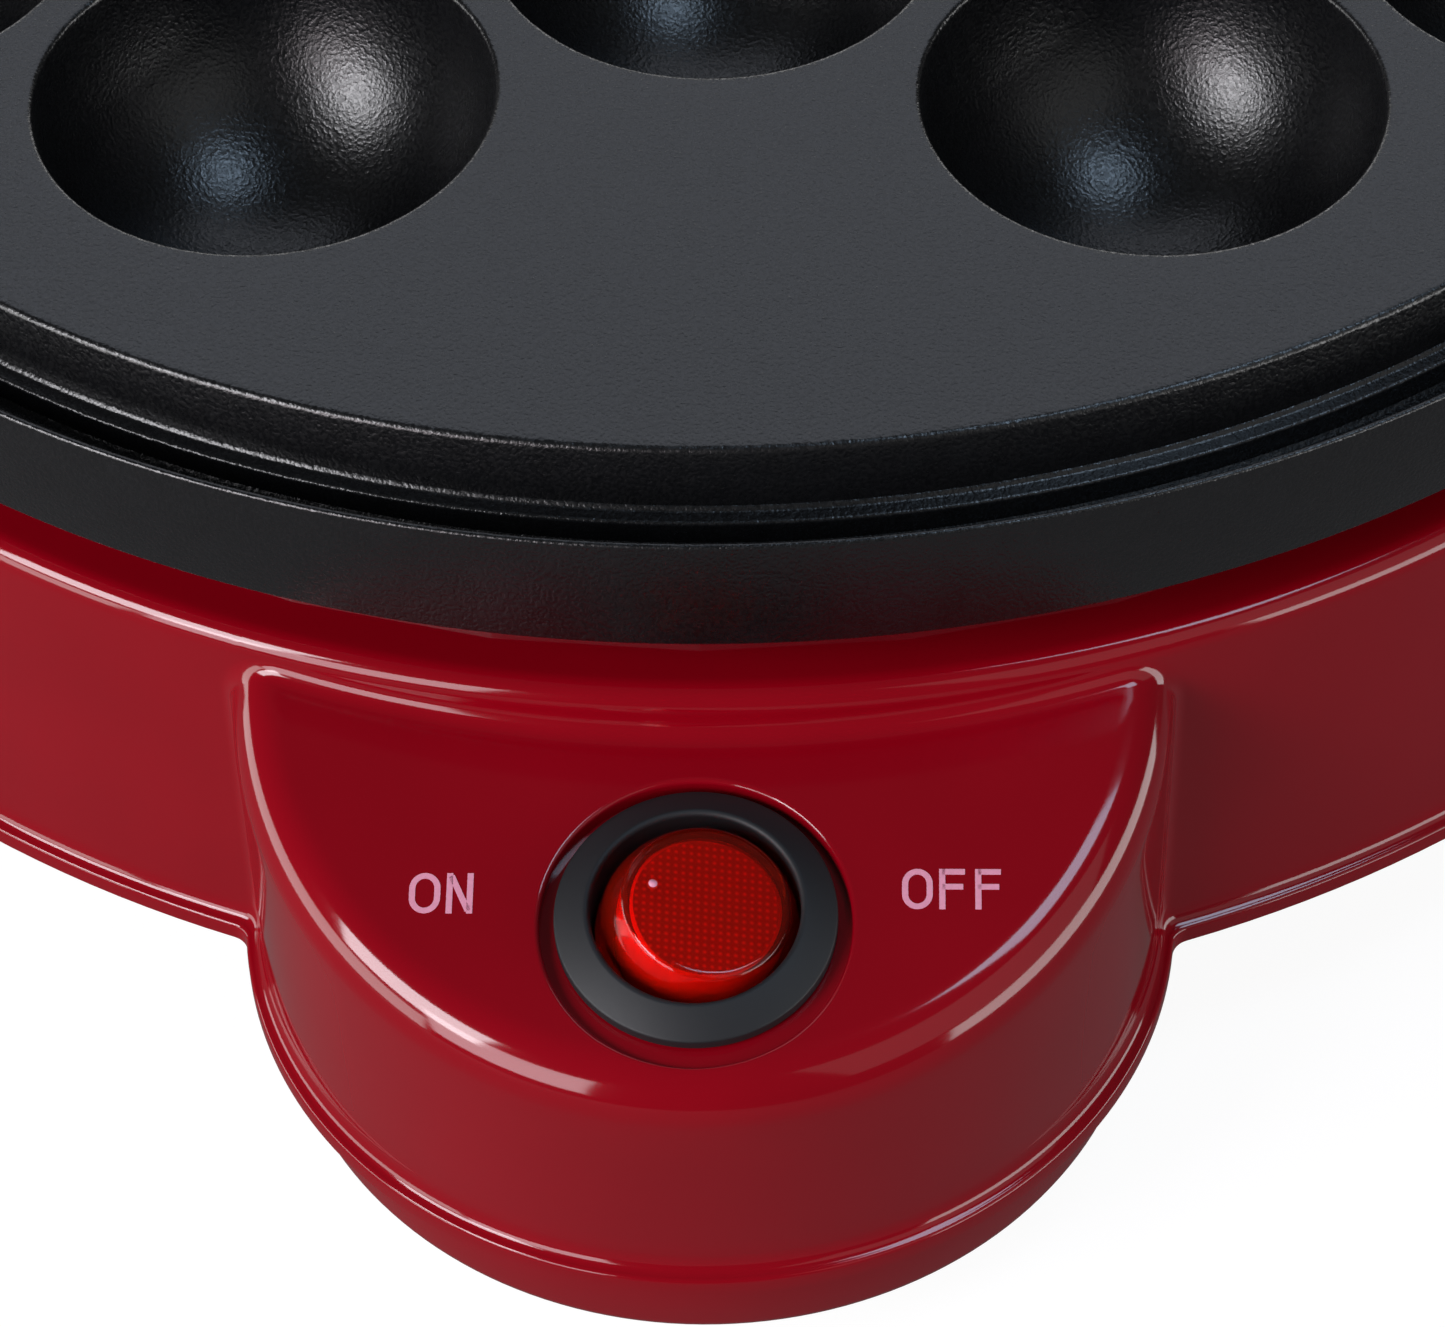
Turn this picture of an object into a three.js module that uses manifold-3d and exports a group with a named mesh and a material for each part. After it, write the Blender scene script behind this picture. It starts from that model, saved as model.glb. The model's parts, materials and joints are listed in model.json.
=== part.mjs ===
// A takoyaki maker: a round plate with half-round hollows over a moulded casing with a rocker switch.
// Millimetres, +Z up, front towards -Y. Heights count from the plate's top until the assembly lifts them.
import * as THREE from "three";
import { mergeVertices } from "three/addons/utils/BufferGeometryUtils.js";
import Module from "manifold-3d";

const library = await Module();
library.setup();

// Shared clearances
const seatGap = 0.3;
const overrun = 3;
const weld = 0.0005;

// Cooking plate
const hollowRadius = 20;
const hollowPitch = 44.2;
const hollowWall = 2.6;
const hollowRings = 2;
const plateMargin = 0.9;
const plateThickness = 4;
const plateEdge = 0.5;
const stepRun = 1;
const stepDrop = 5.9;
const ledgeWidth = 1.5;
const grooveWidth = 3.2;
const grooveFlare = 2;
const grooveDepth = 2.6;
const rimTopDrop = 2.7;
const rimLand = 0.3;
const rimDraft = 0.3;
const rimDepth = 14.2;
const rimWall = 2.6;
const bossRadius = 5;
const bossDepth = 12;
const bossInset = 2.3;
const padRadius = 9;
const padDepth = 7;

// Upper casing
const rimGap = 6.3;
const casingDraft = 2.1;
const casingHeight = 33.5;
const casingWall = 2.5;
const casingRound = 2.2;
const mouthLedge = 13.8;
const lipWidth = 1.45;
const lipFall = 1.4;
const lipHeight = 1.8;
const blendShare = 0.25;
const postRadius = 3.4;
const postGap = 0.6;
const postDegrees = [30, 150, 237, 303];

// Switch console on the casing's front
const consoleSetback = 7.2;
const consoleRadius = 39.5;
const consoleReturn = 8;
const consoleRound = 4;
const panelDrop = 4.1;
const panelSlope = THREE.MathUtils.degToRad(13.5);
const seamRound = 2.5;

// Lower tray
const trayInset = 7.1;
const trayDepth = 9.3;
const trayWall = 2.4;
const trayEdge = 1.4;
const bandInset = 2.2;
const bandDraft = 0.5;
const tongueHeight = 4;
const ventWidth = 3;
const ventLength = 26;
const ventRadius = 62;
const ventCount = 8;

// Feet
const footDrop = 6.5;
const footRadius = 8.5;
const footTaper = 1;
const footSetback = 15.1;
const footStem = 3;
const footBarb = 1;

// Screws
const crownShare = 0.8;
const screwRadius = 1.5;
const screwHead = 3.1;
const screwHeadHeight = 2;
const screwBite = 9;
const plateScrewRadius = 1.9;
const plateScrewHead = 3.5;
const plateScrewBite = 4;

// Heating element, pan and sensors
const tubeRadius = 3.3;
const coldSpread = 14;
const bendRadius = 10;
const dropRadius = 8;
const coldInset = 11;
const coldDrop = 44;
const tabWidth = 6.3;
const tabThickness = 0.8;
const tabLength = 9;
const panThickness = 0.8;
const panDepth = 34;
const panGap = 1.4;
const panFlare = 7.4;
const brimInset = 6.1;
const beadRadius = 5.4;
const beadAbove = 3;
const beadBelow = 4;
const stripThickness = 1;
const stripWidth = 8;
const stripFoot = 10;
const sensorRadius = 7.5;
const sensorFlange = 8.2;
const sensorHeight = 9;
const sensorBlade = 7;
const sensorShift = 6.4;
const fuseRadius = 2.4;
const fuseLength = 13;
const fuseSide = 34;
const fuseInset = 15;

// Wiring in the base
const leadRadius = 1.1;
const blockWidth = 30;
const blockDepth = 16;
const blockHeight = 13;
const blockBack = 62;
const blockSeat = 3.2;
const wayShare = 0.25;
const glandRadius = 5.6;
const glandCollar = 7.6;
const glandCollarDepth = 1.1;
const glandBore = 3.2;
const glandDrop = 44;
const glandTail = 9;
const glandLean = 1.5;
const glandBarb = 0.6;
const clampSetback = 10.1;
const clampWidth = 26;
const clampDepth = 7;
const clampHeight = 4;
const clampSpread = 9;
const clampRise = 10;
const trayPost = 3.4;
const blockRise = 3.4;
const earthWidth = 8;
const earthLength = 16;

// Rocker switch
const switchReach = 24.5;
const seatRadius = 12.6;
const seatSlope = THREE.MathUtils.degToRad(10.5);
const bezelRadius = 11.6;
const bezelHeight = 2.2;
const bezelBore = 8.6;
const bezelRound = 0.5;
const barrelRadius = 9.9;
const barrelDepth = 14;
const barrelFloor = 1.6;
const pivotDepth = 5;
const rockerTilt = THREE.MathUtils.degToRad(10.5);
const rockerRadius = 7.55;
const rockerCrown = 6.4;
const rockerTop = 7.1;
const rockerRound = 0.9;
const rockerSkirt = 0.6;
const rockerShell = 1.1;
const pinRadius = 1.1;
const pinLength = 0.6;
const pinClearance = 0.2;
const stemRadius = 1.9;
const stemLength = 4;
const plungerRadius = 0.9;
const plungerReach = 4;
const plungerClearance = 0.2;
const springRadius = 0.7;
const springWire = 0.2;
const springCurls = 5;
const leverLength = 10;
const leverWidth = 4;
const leverThickness = 0.6;
const leverRise = 0.3;
const leverTilt = THREE.MathUtils.degToRad(6);
const bladeWidth = 4.8;
const bladeThickness = 0.8;
const bladeLength = 8;
const bladeSpread = 6;
const lampRadius = 1.2;
const lampLength = 4;
const lampSide = 5.2;

// Facet counts
const roundSteps = 60;
const panSteps = 40;
const switchSteps = 24;
const smallSteps = 12;
const tinySteps = 8;
const hollowSteps = 16;
const hollowRows = 4;
const domeSteps = 10;
const domeRows = 3;
const consoleSteps = 20;
const filletSteps = 3;
const innerSteps = 2;
const elementSteps = 60;
const ringSteps = 34;
const bendSteps = 4;
const curlSteps = 6;

// Radii and heights worked out from the sizes above
const plateauRadius = hollowRings * hollowPitch + hollowRadius + plateMargin;
const stepFoot = plateauRadius + stepRun;
const ledgeEdge = stepFoot + ledgeWidth;
const grooveFoot = ledgeEdge + grooveWidth;
const grooveOuter = grooveFoot + grooveFlare;
const rimTop = grooveOuter + rimLand;
const rimRadius = rimTop + rimDraft;
const domeRadius = hollowRadius + hollowWall;
const bossCircle = plateauRadius - bossInset;
const ledgeLevel = -rimDepth - rimGap;
const footLevel = ledgeLevel - casingHeight;
const lipLevel = footLevel - lipFall;
const mouthLevel = lipLevel - lipHeight;
const casingTop = rimRadius;
const casingFoot = casingTop + casingDraft;
const lipRadius = casingFoot + lipWidth;
const casingCeiling = ledgeLevel - casingWall;
const casingMouth = casingTop - mouthLedge;
const consoleCentre = casingTop - consoleSetback;
const trayTop = mouthLevel + trayWall - seatGap;
const trayRadius = casingFoot - casingWall - trayInset;
const postCircle = trayRadius + screwHead + postGap;
const trayLevel = mouthLevel - trayDepth;
const trayFloor = trayLevel + trayWall;
const groundLevel = trayLevel - footDrop;
const footCircle = trayRadius - footSetback;
const clampBack = trayRadius - clampSetback;
const elementRadius = (hollowPitch + hollowPitch * Math.sqrt(3)) / 2;
const elementOffset = (hollowPitch * Math.sqrt(3) - hollowPitch) / 2;
const elementLevel = -Math.sqrt((domeRadius + tubeRadius + seatGap) ** 2 - elementOffset ** 2);
const brimLevel = ledgeLevel + seatGap;
const panLevel = -panDepth;
const panThroat = casingMouth - panGap;
const panFloor = panThroat - panFlare;
const panBrim = casingTop - brimInset;
const coldReach = panFloor - coldInset;
const fuseSetback = panFloor - fuseInset;
const sensorSetback = hollowRings * hollowPitch - sensorShift;

// Basic operations

// A closed geometry of positions only: welded, without collapsed triangles, its faces turned outwards.
function outward(geometry) {
  const bare = geometry.index ? geometry.toNonIndexed() : geometry.clone();
  bare.deleteAttribute("normal");
  bare.deleteAttribute("uv");
  const welded = mergeVertices(bare, weld);
  const index = welded.index.array;
  const place = welded.attributes.position;
  const corners = [new THREE.Vector3(), new THREE.Vector3(), new THREE.Vector3()];
  const kept = [];
  let volume = 0;
  for (let i = 0; i < index.length; i += 3) {
    const [a, b, c] = [index[i], index[i + 1], index[i + 2]];
    if (a === b || b === c || c === a) continue;
    kept.push(a, b, c);
    corners.forEach((corner, k) => corner.fromBufferAttribute(place, index[i + k]));
    volume += corners[0].dot(corners[1].cross(corners[2]));
  }
  welded.setIndex(volume < 0 ? kept.reverse() : kept);
  return welded;
}

function solidOf(geometry) {
  const closed = outward(geometry);
  const vertProperties = new Float32Array(closed.attributes.position.array);
  const triVerts = new Uint32Array(closed.index.array);
  return new library.Manifold(new library.Mesh({ numProp: 3, vertProperties, triVerts }));
}

function geometryOf(solid) {
  const mesh = solid.getMesh();
  const geometry = new THREE.BufferGeometry();
  geometry.setAttribute("position", new THREE.BufferAttribute(mesh.vertProperties, 3));
  geometry.setIndex(new THREE.BufferAttribute(mesh.triVerts, 1));
  return geometry;
}

function join(first, ...others) {
  return geometryOf(others.reduce((whole, other) => whole.add(solidOf(other)), solidOf(first)));
}

function cut(first, ...tools) {
  return geometryOf(tools.reduce((rest, tool) => rest.subtract(solidOf(tool)), solidOf(first)));
}

// Points of an arc in a profile, from one angle to another.
function arc(centreX, centreY, radius, from, to, steps) {
  return Array.from({ length: steps + 1 }, (_, i) => {
    const angle = from + ((to - from) * i) / steps;
    return [centreX + radius * Math.cos(angle), centreY + radius * Math.sin(angle)];
  });
}

// A profile of [radius, height] pairs turned about Z, closed on the axis or on itself.
function turned(profile, steps = roundSteps) {
  const points = profile.map(([radius, height]) => new THREE.Vector2(Math.max(radius, 0), height));
  const last = points[points.length - 1];
  if (points[0].x > 0 || last.x > 0) points.push(points[0].clone());
  return outward(new THREE.LatheGeometry(points, steps).rotateX(Math.PI / 2));
}

function rod(radius, bottom, top, steps = smallSteps) {
  return turned([[0, bottom], [radius, bottom], [radius, top], [0, top]], steps);
}

function sleeve(inner, outer, bottom, top, steps = smallSteps) {
  return turned([[inner, bottom], [outer, bottom], [outer, top], [inner, top]], steps);
}

function block(width, depth, bottom, top) {
  return new THREE.BoxGeometry(width, depth, top - bottom).translate(0, 0, (top + bottom) / 2);
}

// Rings of equally many points, one above the other, skinned and capped.
function loft(rings) {
  const turnedBack = THREE.ShapeUtils.area(rings[0]) < 0;
  const ordered = turnedBack ? rings.map((ring) => [...ring].reverse()) : rings;
  const count = ordered[0].length;
  const index = [];
  for (let level = 0; level < ordered.length - 1; level++) {
    for (let i = 0; i < count; i++) {
      const a = level * count + i;
      const b = level * count + ((i + 1) % count);
      index.push(a, b, b + count, a, b + count, a + count);
    }
  }
  const flat = (ring) => ring.map((point) => new THREE.Vector2(point.x, point.y));
  const top = (ordered.length - 1) * count;
  for (const [a, b, c] of THREE.ShapeUtils.triangulateShape(flat(ordered[0]), [])) index.push(a, c, b);
  for (const [a, b, c] of THREE.ShapeUtils.triangulateShape(flat(ordered[ordered.length - 1]), [])) {
    index.push(top + a, top + b, top + c);
  }
  const geometry = new THREE.BufferGeometry().setFromPoints(ordered.flat());
  return outward(geometry.setIndex(index));
}

// A flat outline in X and Y, or in the plane that the caller turns it to, made thick along Z about zero.
function plateOf(shape, thickness) {
  const settings = { depth: thickness, bevelEnabled: false, curveSegments: tinySteps };
  return new THREE.ExtrudeGeometry(shape, settings).translate(0, 0, -thickness / 2);
}

// A round tube along a smooth curve through the points.
function tube(points, radius, steps, sides = 8) {
  const section = Array.from({ length: sides }, (_, i) => {
    const angle = (2 * Math.PI * i) / sides;
    return new THREE.Vector2(radius * Math.cos(angle), radius * Math.sin(angle));
  });
  const route = new THREE.CatmullRomCurve3(points.map((point) => new THREE.Vector3(...point)));
  return outward(new THREE.ExtrudeGeometry(new THREE.Shape(section), { steps, extrudePath: route }));
}

function placed(geometry, x, y, z = 0) {
  return geometry.clone().translate(x, y, z);
}

function placedAt(geometry, places) {
  return places.map(({ x, y }) => placed(geometry, x, y));
}

function around(count, radius, firstAngle) {
  return Array.from({ length: count }, (_, i) => {
    const angle = firstAngle + (2 * Math.PI * i) / count;
    return { x: radius * Math.cos(angle), y: radius * Math.sin(angle), angle };
  });
}

// Cooking plate

// Hollow centres on a hexagonal lattice of whole rings, with the place at the front left plain.
function hollowPlaces() {
  const places = [];
  for (let column = -hollowRings; column <= hollowRings; column++) {
    const count = 2 * hollowRings + 1 - Math.abs(column);
    for (let i = 0; i < count; i++) {
      const x = (column * hollowPitch * Math.sqrt(3)) / 2;
      const y = (i - (count - 1) / 2) * hollowPitch;
      if (column !== 0 || i > 0) places.push({ x, y });
    }
  }
  return places;
}

const bossPlaces = around(4, bossCircle, Math.PI / 4);

function cookingPlate() {
  const grooveFloor = -stepDrop - grooveDepth;
  const slab = turned([
    [0, 0],
    [rimTop, 0],
    [rimTop, -rimTopDrop],
    [rimRadius, -rimDepth],
    [rimRadius - rimWall, -rimDepth],
    [rimRadius - rimWall, grooveFloor - rimWall],
    [ledgeEdge - rimWall, grooveFloor - rimWall],
    [ledgeEdge - rimWall, -plateThickness],
    [0, -plateThickness],
  ]);
  const step = turned([
    [plateauRadius - plateEdge - overrun, overrun],
    [plateauRadius, -plateEdge],
    [stepFoot, -stepDrop],
    [ledgeEdge, -stepDrop],
    [ledgeEdge, grooveFloor],
    [grooveFoot, grooveFloor],
    [grooveOuter, -rimTopDrop],
    [rimRadius + overrun, -rimTopDrop],
    [rimRadius + overrun, overrun],
  ]);
  const skin = plateThickness / 2;
  const domeStart = -Math.asin(skin / domeRadius);
  const dome = turned([...arc(0, 0, domeRadius, -Math.PI / 2, domeStart, domeRows), [0, -skin]], domeSteps);
  const bowl = arc(0, 0, hollowRadius, -Math.PI / 2, 0, hollowRows);
  const hollow = turned([...bowl, [hollowRadius, overrun], [0, overrun]], hollowSteps);
  const places = hollowPlaces();
  const boss = rod(bossRadius, -bossDepth, plateEdge - plateThickness);
  const biteTop = -bossDepth + plateScrewBite + seatGap;
  const bite = rod(plateScrewRadius + seatGap, -bossDepth - overrun, biteTop, tinySteps);
  const pad = placed(rod(padRadius, -padDepth, -skin), 0, -sensorSetback);
  const cast = join(slab, ...placedAt(dome, places), ...placedAt(boss, bossPlaces), pad);
  return cut(cast, step, ...placedAt(hollow, places), ...placedAt(bite, bossPlaces));
}

// Upper casing

// The panel's height over a place on the console: a plane that falls towards the front.
function panelHeight(y) {
  return ledgeLevel - panelDrop + (y + casingTop) * Math.tan(panelSlope);
}

// The console in plan: a half round towards the front with straight sides running back into the round wall.
function consoleRing(radius, heightAt) {
  const front = arc(0, -consoleCentre, radius, 0, -Math.PI, consoleSteps);
  const back = -consoleCentre + consoleReturn;
  const outline = [[radius, back], ...front, [-radius, back]];
  return outline.map(([x, y]) => new THREE.Vector3(x, y, heightAt(y)));
}

function consoleOuter() {
  const rings = [
    consoleRing(consoleRadius + lipWidth, () => mouthLevel),
    consoleRing(consoleRadius + lipWidth, () => lipLevel),
    consoleRing(consoleRadius + lipWidth * blendShare, () => lipLevel + lipFall * (1 - blendShare)),
    consoleRing(consoleRadius, () => footLevel + lipFall / 2),
  ];
  for (let i = 0; i <= filletSteps; i++) {
    const angle = ((Math.PI / 2) * i) / filletSteps;
    const inset = consoleRound * (1 - Math.cos(angle));
    const fall = consoleRound * (1 - Math.sin(angle));
    rings.push(consoleRing(consoleRadius - inset, (y) => panelHeight(y) - fall));
  }
  return loft(rings);
}

function consoleInner() {
  const rings = [consoleRing(consoleRadius - casingWall, () => mouthLevel - overrun)];
  const innerRound = consoleRound - casingWall;
  const ceiling = casingWall / Math.cos(panelSlope);
  for (let i = 0; i <= innerSteps; i++) {
    const angle = ((Math.PI / 2) * i) / innerSteps;
    const inset = casingWall + innerRound * (1 - Math.cos(angle));
    const fall = ceiling + innerRound * (1 - Math.sin(angle));
    rings.push(consoleRing(consoleRadius - inset, (y) => panelHeight(y) - fall));
  }
  return loft(rings);
}

// The rounded inside corner between the console's side and the round wall, at one height.
function seamRing(side, wallRadius, z) {
  const reach = wallRadius + seamRound;
  const span = consoleRadius + seamRound;
  const y = -(reach ** 2 - span ** 2 + consoleCentre ** 2) / (2 * consoleCentre);
  const x = Math.sqrt(reach ** 2 - y ** 2);
  const toWall = Math.atan2(-y, -x);
  const toConsole = Math.atan2(-consoleCentre - y, -x);
  const from = toWall;
  const to = toConsole < toWall ? toConsole + 2 * Math.PI : toConsole;
  const curve = arc(x, y, seamRound, from, to, filletSteps);
  const hidden = [consoleRadius - casingWall / 2, -consoleCentre + seamRound];
  return [...curve, hidden].map(([px, py]) => new THREE.Vector3(side * px, py, z));
}

function seamFillet(side) {
  const top = panelHeight(-consoleCentre) - consoleRound;
  const share = (ledgeLevel - top) / casingHeight;
  return loft([
    seamRing(side, casingFoot, mouthLevel),
    seamRing(side, casingFoot, footLevel),
    seamRing(side, casingTop + casingDraft * share, top),
  ]);
}

// The frame of the switch's seat, which is less steep than the panel and runs out at its front edge.
function switchFrame() {
  const frame = new THREE.Group();
  const y = -consoleCentre - switchReach;
  const depth = seatRadius * (Math.tan(panelSlope) - Math.tan(seatSlope));
  frame.position.set(0, y, panelHeight(y) - depth);
  frame.rotation.x = seatSlope;
  frame.updateMatrix();
  return frame;
}

const postPlaces = postDegrees.map((degrees) => {
  const angle = THREE.MathUtils.degToRad(degrees);
  return { x: postCircle * Math.cos(angle), y: postCircle * Math.sin(angle) };
});

function upperCasing() {
  const shoulder = ledgeLevel - casingRound;
  const outer = turned([
    [0, mouthLevel],
    [lipRadius, mouthLevel],
    [lipRadius, lipLevel],
    [casingFoot + lipWidth * blendShare, lipLevel + lipFall * (1 - blendShare)],
    [casingFoot, footLevel + lipFall / 2],
    ...arc(casingTop - casingRound, shoulder, casingRound, 0, Math.PI / 2, filletSteps),
    [0, ledgeLevel],
  ]);
  const inner = turned([
    [0, mouthLevel - overrun],
    [casingFoot - casingWall, mouthLevel - overrun],
    [casingFoot - casingWall, footLevel],
    [casingTop - casingWall, casingCeiling],
    [0, casingCeiling],
  ]);
  const above = ledgeLevel + overrun;
  const below = casingCeiling - overrun;
  const frame = switchFrame();
  const seat = rod(seatRadius, 0, overrun, switchSteps).applyMatrix4(frame.matrix);
  const hole = rod(barrelRadius + seatGap, -barrelDepth, overrun, switchSteps).applyMatrix4(frame.matrix);
  const post = rod(postRadius, trayTop + seatGap, casingCeiling + casingWall / 2, tinySteps);
  const pilot = rod(screwRadius + seatGap, trayTop - overrun, trayTop + screwBite + seatGap, tinySteps);
  const passage = rod(plateScrewRadius + seatGap, below, above, tinySteps);
  const mouth = rod(casingMouth, below, above, roundSteps);
  const glandHole = rod(glandRadius + seatGap, postCircle, lipRadius + overrun).rotateX(-Math.PI / 2);
  const outside = join(outer, consoleOuter(), seamFillet(1), seamFillet(-1));
  const shell = cut(outside, inner, consoleInner(), mouth, seat, hole, placed(glandHole, 0, 0, -glandDrop));
  const posted = join(shell, ...placedAt(post, postPlaces));
  return cut(posted, ...placedAt(pilot, postPlaces), ...placedAt(passage, bossPlaces));
}

// Lower tray

function lowerTray() {
  const edge = casingFoot - casingWall - seatGap;
  const step = mouthLevel - seatGap;
  const basin = turned([
    [0, trayLevel],
    [trayRadius - trayEdge, trayLevel],
    [trayRadius, trayLevel + trayEdge],
    [trayRadius, step],
    [edge, step],
    [edge, trayTop],
    [0, trayTop],
  ]);
  const well = turned([
    [0, trayFloor],
    [trayRadius - trayWall, trayFloor],
    [trayRadius - trayWall, trayTop + overrun],
    [0, trayTop + overrun],
  ]);
  const bandTop = consoleRadius + lipWidth - bandInset;
  const bandFoot = bandTop - bandDraft;
  const tongue = consoleRadius - casingWall - seatGap;
  const band = loft([
    consoleRing(bandFoot - trayEdge, () => trayLevel),
    consoleRing(bandFoot - trayEdge * blendShare, () => trayLevel + trayEdge * (1 - blendShare) / 2),
    consoleRing(bandFoot, () => trayLevel + trayEdge),
    consoleRing(bandTop, () => step - seatGap),
    consoleRing(bandTop, () => step),
    consoleRing(tongue, () => step),
    consoleRing(tongue, () => mouthLevel + tongueHeight),
  ]);
  const hollow = loft([
    consoleRing(bandFoot - trayWall - trayEdge / 2, () => trayFloor),
    consoleRing(tongue - trayWall, () => step),
    consoleRing(tongue - trayWall, () => mouthLevel + tongueHeight + overrun),
  ]);
  const behind = placed(
    block(2 * consoleRadius, 2 * consoleReturn, trayTop, mouthLevel + tongueHeight + overrun),
    0,
    -consoleCentre + consoleReturn + tongueHeight,
  );
  const root = trayFloor - trayWall / 2;
  const below = trayLevel - overrun;
  const clampPost = rod(trayPost, root, trayFloor + clampRise, tinySteps);
  const blockPost = placed(rod(trayPost, root, trayFloor + blockRise, tinySteps), 0, blockBack);
  const screwHole = rod(screwRadius + seatGap, below, trayTop + overrun, tinySteps);
  const footHole = rod(footStem + seatGap, below, trayFloor + overrun, tinySteps);
  const clampPilot = rod(screwRadius + seatGap, root, trayFloor + clampRise + overrun, tinySteps);
  const blockPilot = rod(screwRadius + seatGap, root, trayFloor + blockRise + overrun, tinySteps);
  const vent = block(ventLength, ventWidth, below, trayFloor + overrun);
  const ventPlaces = around(ventCount, ventRadius, Math.PI / ventCount);
  const vents = ventPlaces.map(({ x, y, angle }) => placed(vent.clone().rotateZ(angle), x, y));
  const solid = cut(join(basin, band), well, hollow, behind);
  const posted = join(solid, ...placedAt(clampPost, clampPlaces), blockPost);
  const holes = [...placedAt(screwHole, postPlaces), ...placedAt(footHole, footPlaces)];
  const pilots = [...placedAt(clampPilot, clampPlaces), placed(blockPilot, 0, blockBack)];
  return cut(posted, ...holes, ...pilots, ...vents);
}

const footPlaces = around(4, footCircle, Math.PI / 4);
const clampPlaces = [
  { x: clampSpread, y: clampBack },
  { x: -clampSpread, y: clampBack },
];

// A rubber foot whose stem is pushed through the tray and held by its barb.
function foot() {
  const shoulder = trayLevel - seatGap;
  const barb = trayFloor + seatGap;
  return turned([
    [0, groundLevel],
    [footRadius - footTaper / 2, groundLevel],
    [footRadius, groundLevel + footTaper / 2],
    [footRadius - footTaper, shoulder],
    [footStem, shoulder],
    [footStem, barb],
    [footStem + footBarb, barb],
    [footStem - footBarb, barb + footStem],
    [0, barb + footStem],
  ], smallSteps);
}

// A pan-head screw pointing up, its head's seat at the given height.
function screw(shank, head, headHeight, seat, tip) {
  return turned(
    [
      [0, seat - headHeight],
      [head * crownShare, seat - headHeight],
      [head, seat],
      [shank, seat],
      [shank, tip],
      [0, tip],
    ],
    tinySteps,
  );
}

// Heating element

function heatingElement() {
  const bendX = coldSpread + bendRadius;
  const bendY = -Math.sqrt((elementRadius + bendRadius) ** 2 - bendX ** 2);
  const meet = Math.atan2(bendY, bendX);
  const dropY = -coldReach + dropRadius;
  const dropZ = elementLevel - dropRadius;
  const tip = -coldDrop;
  const half = [
    [coldSpread, -coldReach, tip],
    [coldSpread, -coldReach, (tip + dropZ) / 2],
    ...arc(dropY, dropZ, dropRadius, Math.PI, Math.PI / 2, filletSteps).map(([y, z]) => [coldSpread, y, z]),
    ...arc(bendX, bendY, bendRadius, Math.PI, meet + Math.PI, bendSteps).map(([x, y]) => [x, y, elementLevel]),
  ];
  const sweep = arc(0, 0, elementRadius, meet, Math.PI - meet, ringSteps).slice(1, -1);
  const ring = sweep.map(([x, y]) => [x, y, elementLevel]);
  const other = half.map(([x, y, z]) => [-x, y, z]).reverse();
  const sheath = tube([...half, ...ring, ...other], tubeRadius, elementSteps, 6);
  const blade = block(tabWidth, tabThickness, tip - tabLength, tip + tabThickness);
  const blades = [1, -1].map((side) => blade.clone().translate(side * coldSpread, -coldReach, 0));
  return join(sheath, ...blades);
}

// A ceramic bead seated in the pan's floor round a cold end.
function bead() {
  return turned([
    [tubeRadius + seatGap, panLevel - beadBelow],
    [beadRadius - seatGap, panLevel - beadBelow],
    [beadRadius - seatGap, panLevel + seatGap],
    [beadRadius + seatGap, panLevel + seatGap],
    [beadRadius + seatGap, panLevel + beadAbove],
    [tubeRadius + seatGap, panLevel + beadAbove],
  ], smallSteps);
}

// A bent strip that stands on the pan's floor and carries the element's ring.
function elementClip() {
  const floor = panLevel + seatGap;
  const saddle = elementLevel - tubeRadius - seatGap;
  const outline = new THREE.Shape();
  outline.moveTo(0, floor);
  outline.lineTo(stripFoot, floor);
  outline.lineTo(stripFoot, floor + stripThickness);
  outline.lineTo(stripThickness, floor + stripThickness);
  outline.lineTo(stripThickness, saddle);
  outline.lineTo(-tubeRadius, saddle);
  outline.lineTo(-tubeRadius, saddle - stripThickness);
  outline.lineTo(0, saddle - stripThickness);
  outline.closePath();
  return plateOf(outline, stripWidth).rotateX(Math.PI / 2);
}

function reflectorPan() {
  const brimTop = brimLevel + panThickness;
  const pan = turned([
    [0, panLevel],
    [panFloor, panLevel],
    [panThroat, brimTop],
    [panBrim, brimTop],
    [panBrim, brimLevel],
    [panThroat + panThickness / 2, brimLevel],
    [panFloor + panThickness / 2, panLevel - panThickness],
    [0, panLevel - panThickness],
  ], panSteps);
  const floorCut = [panLevel - overrun, panLevel + overrun];
  const passage = rod(plateScrewRadius + seatGap, brimLevel - overrun, brimTop + overrun, tinySteps);
  const beadHole = rod(beadRadius, ...floorCut);
  const leadHole = rod(2 * leadRadius + seatGap, ...floorCut, tinySteps);
  const leadY = stripFoot - fuseSetback;
  return cut(
    pan,
    ...placedAt(passage, bossPlaces),
    placed(beadHole, coldSpread, -coldReach),
    placed(beadHole, -coldSpread, -coldReach),
    placed(leadHole, fuseSide, leadY),
    placed(leadHole, -fuseSide, leadY),
  );
}

// Sensors

const sensorTop = -padDepth - seatGap;

function thermostat() {
  const bottom = sensorTop - sensorHeight;
  const body = turned([
    [0, sensorTop],
    [sensorFlange, sensorTop],
    [sensorFlange, sensorTop - stripThickness],
    [sensorRadius, sensorTop - stripThickness],
    [sensorRadius, bottom],
    [0, bottom],
  ], smallSteps);
  const blade = block(tabWidth, sensorRadius + sensorBlade, bottom + tabThickness, bottom + 2 * tabThickness);
  const reach = (sensorRadius + sensorBlade) / 2;
  return join(body, blade.clone().translate(0, reach, 0), blade.clone().translate(0, -reach, 0));
}

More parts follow.
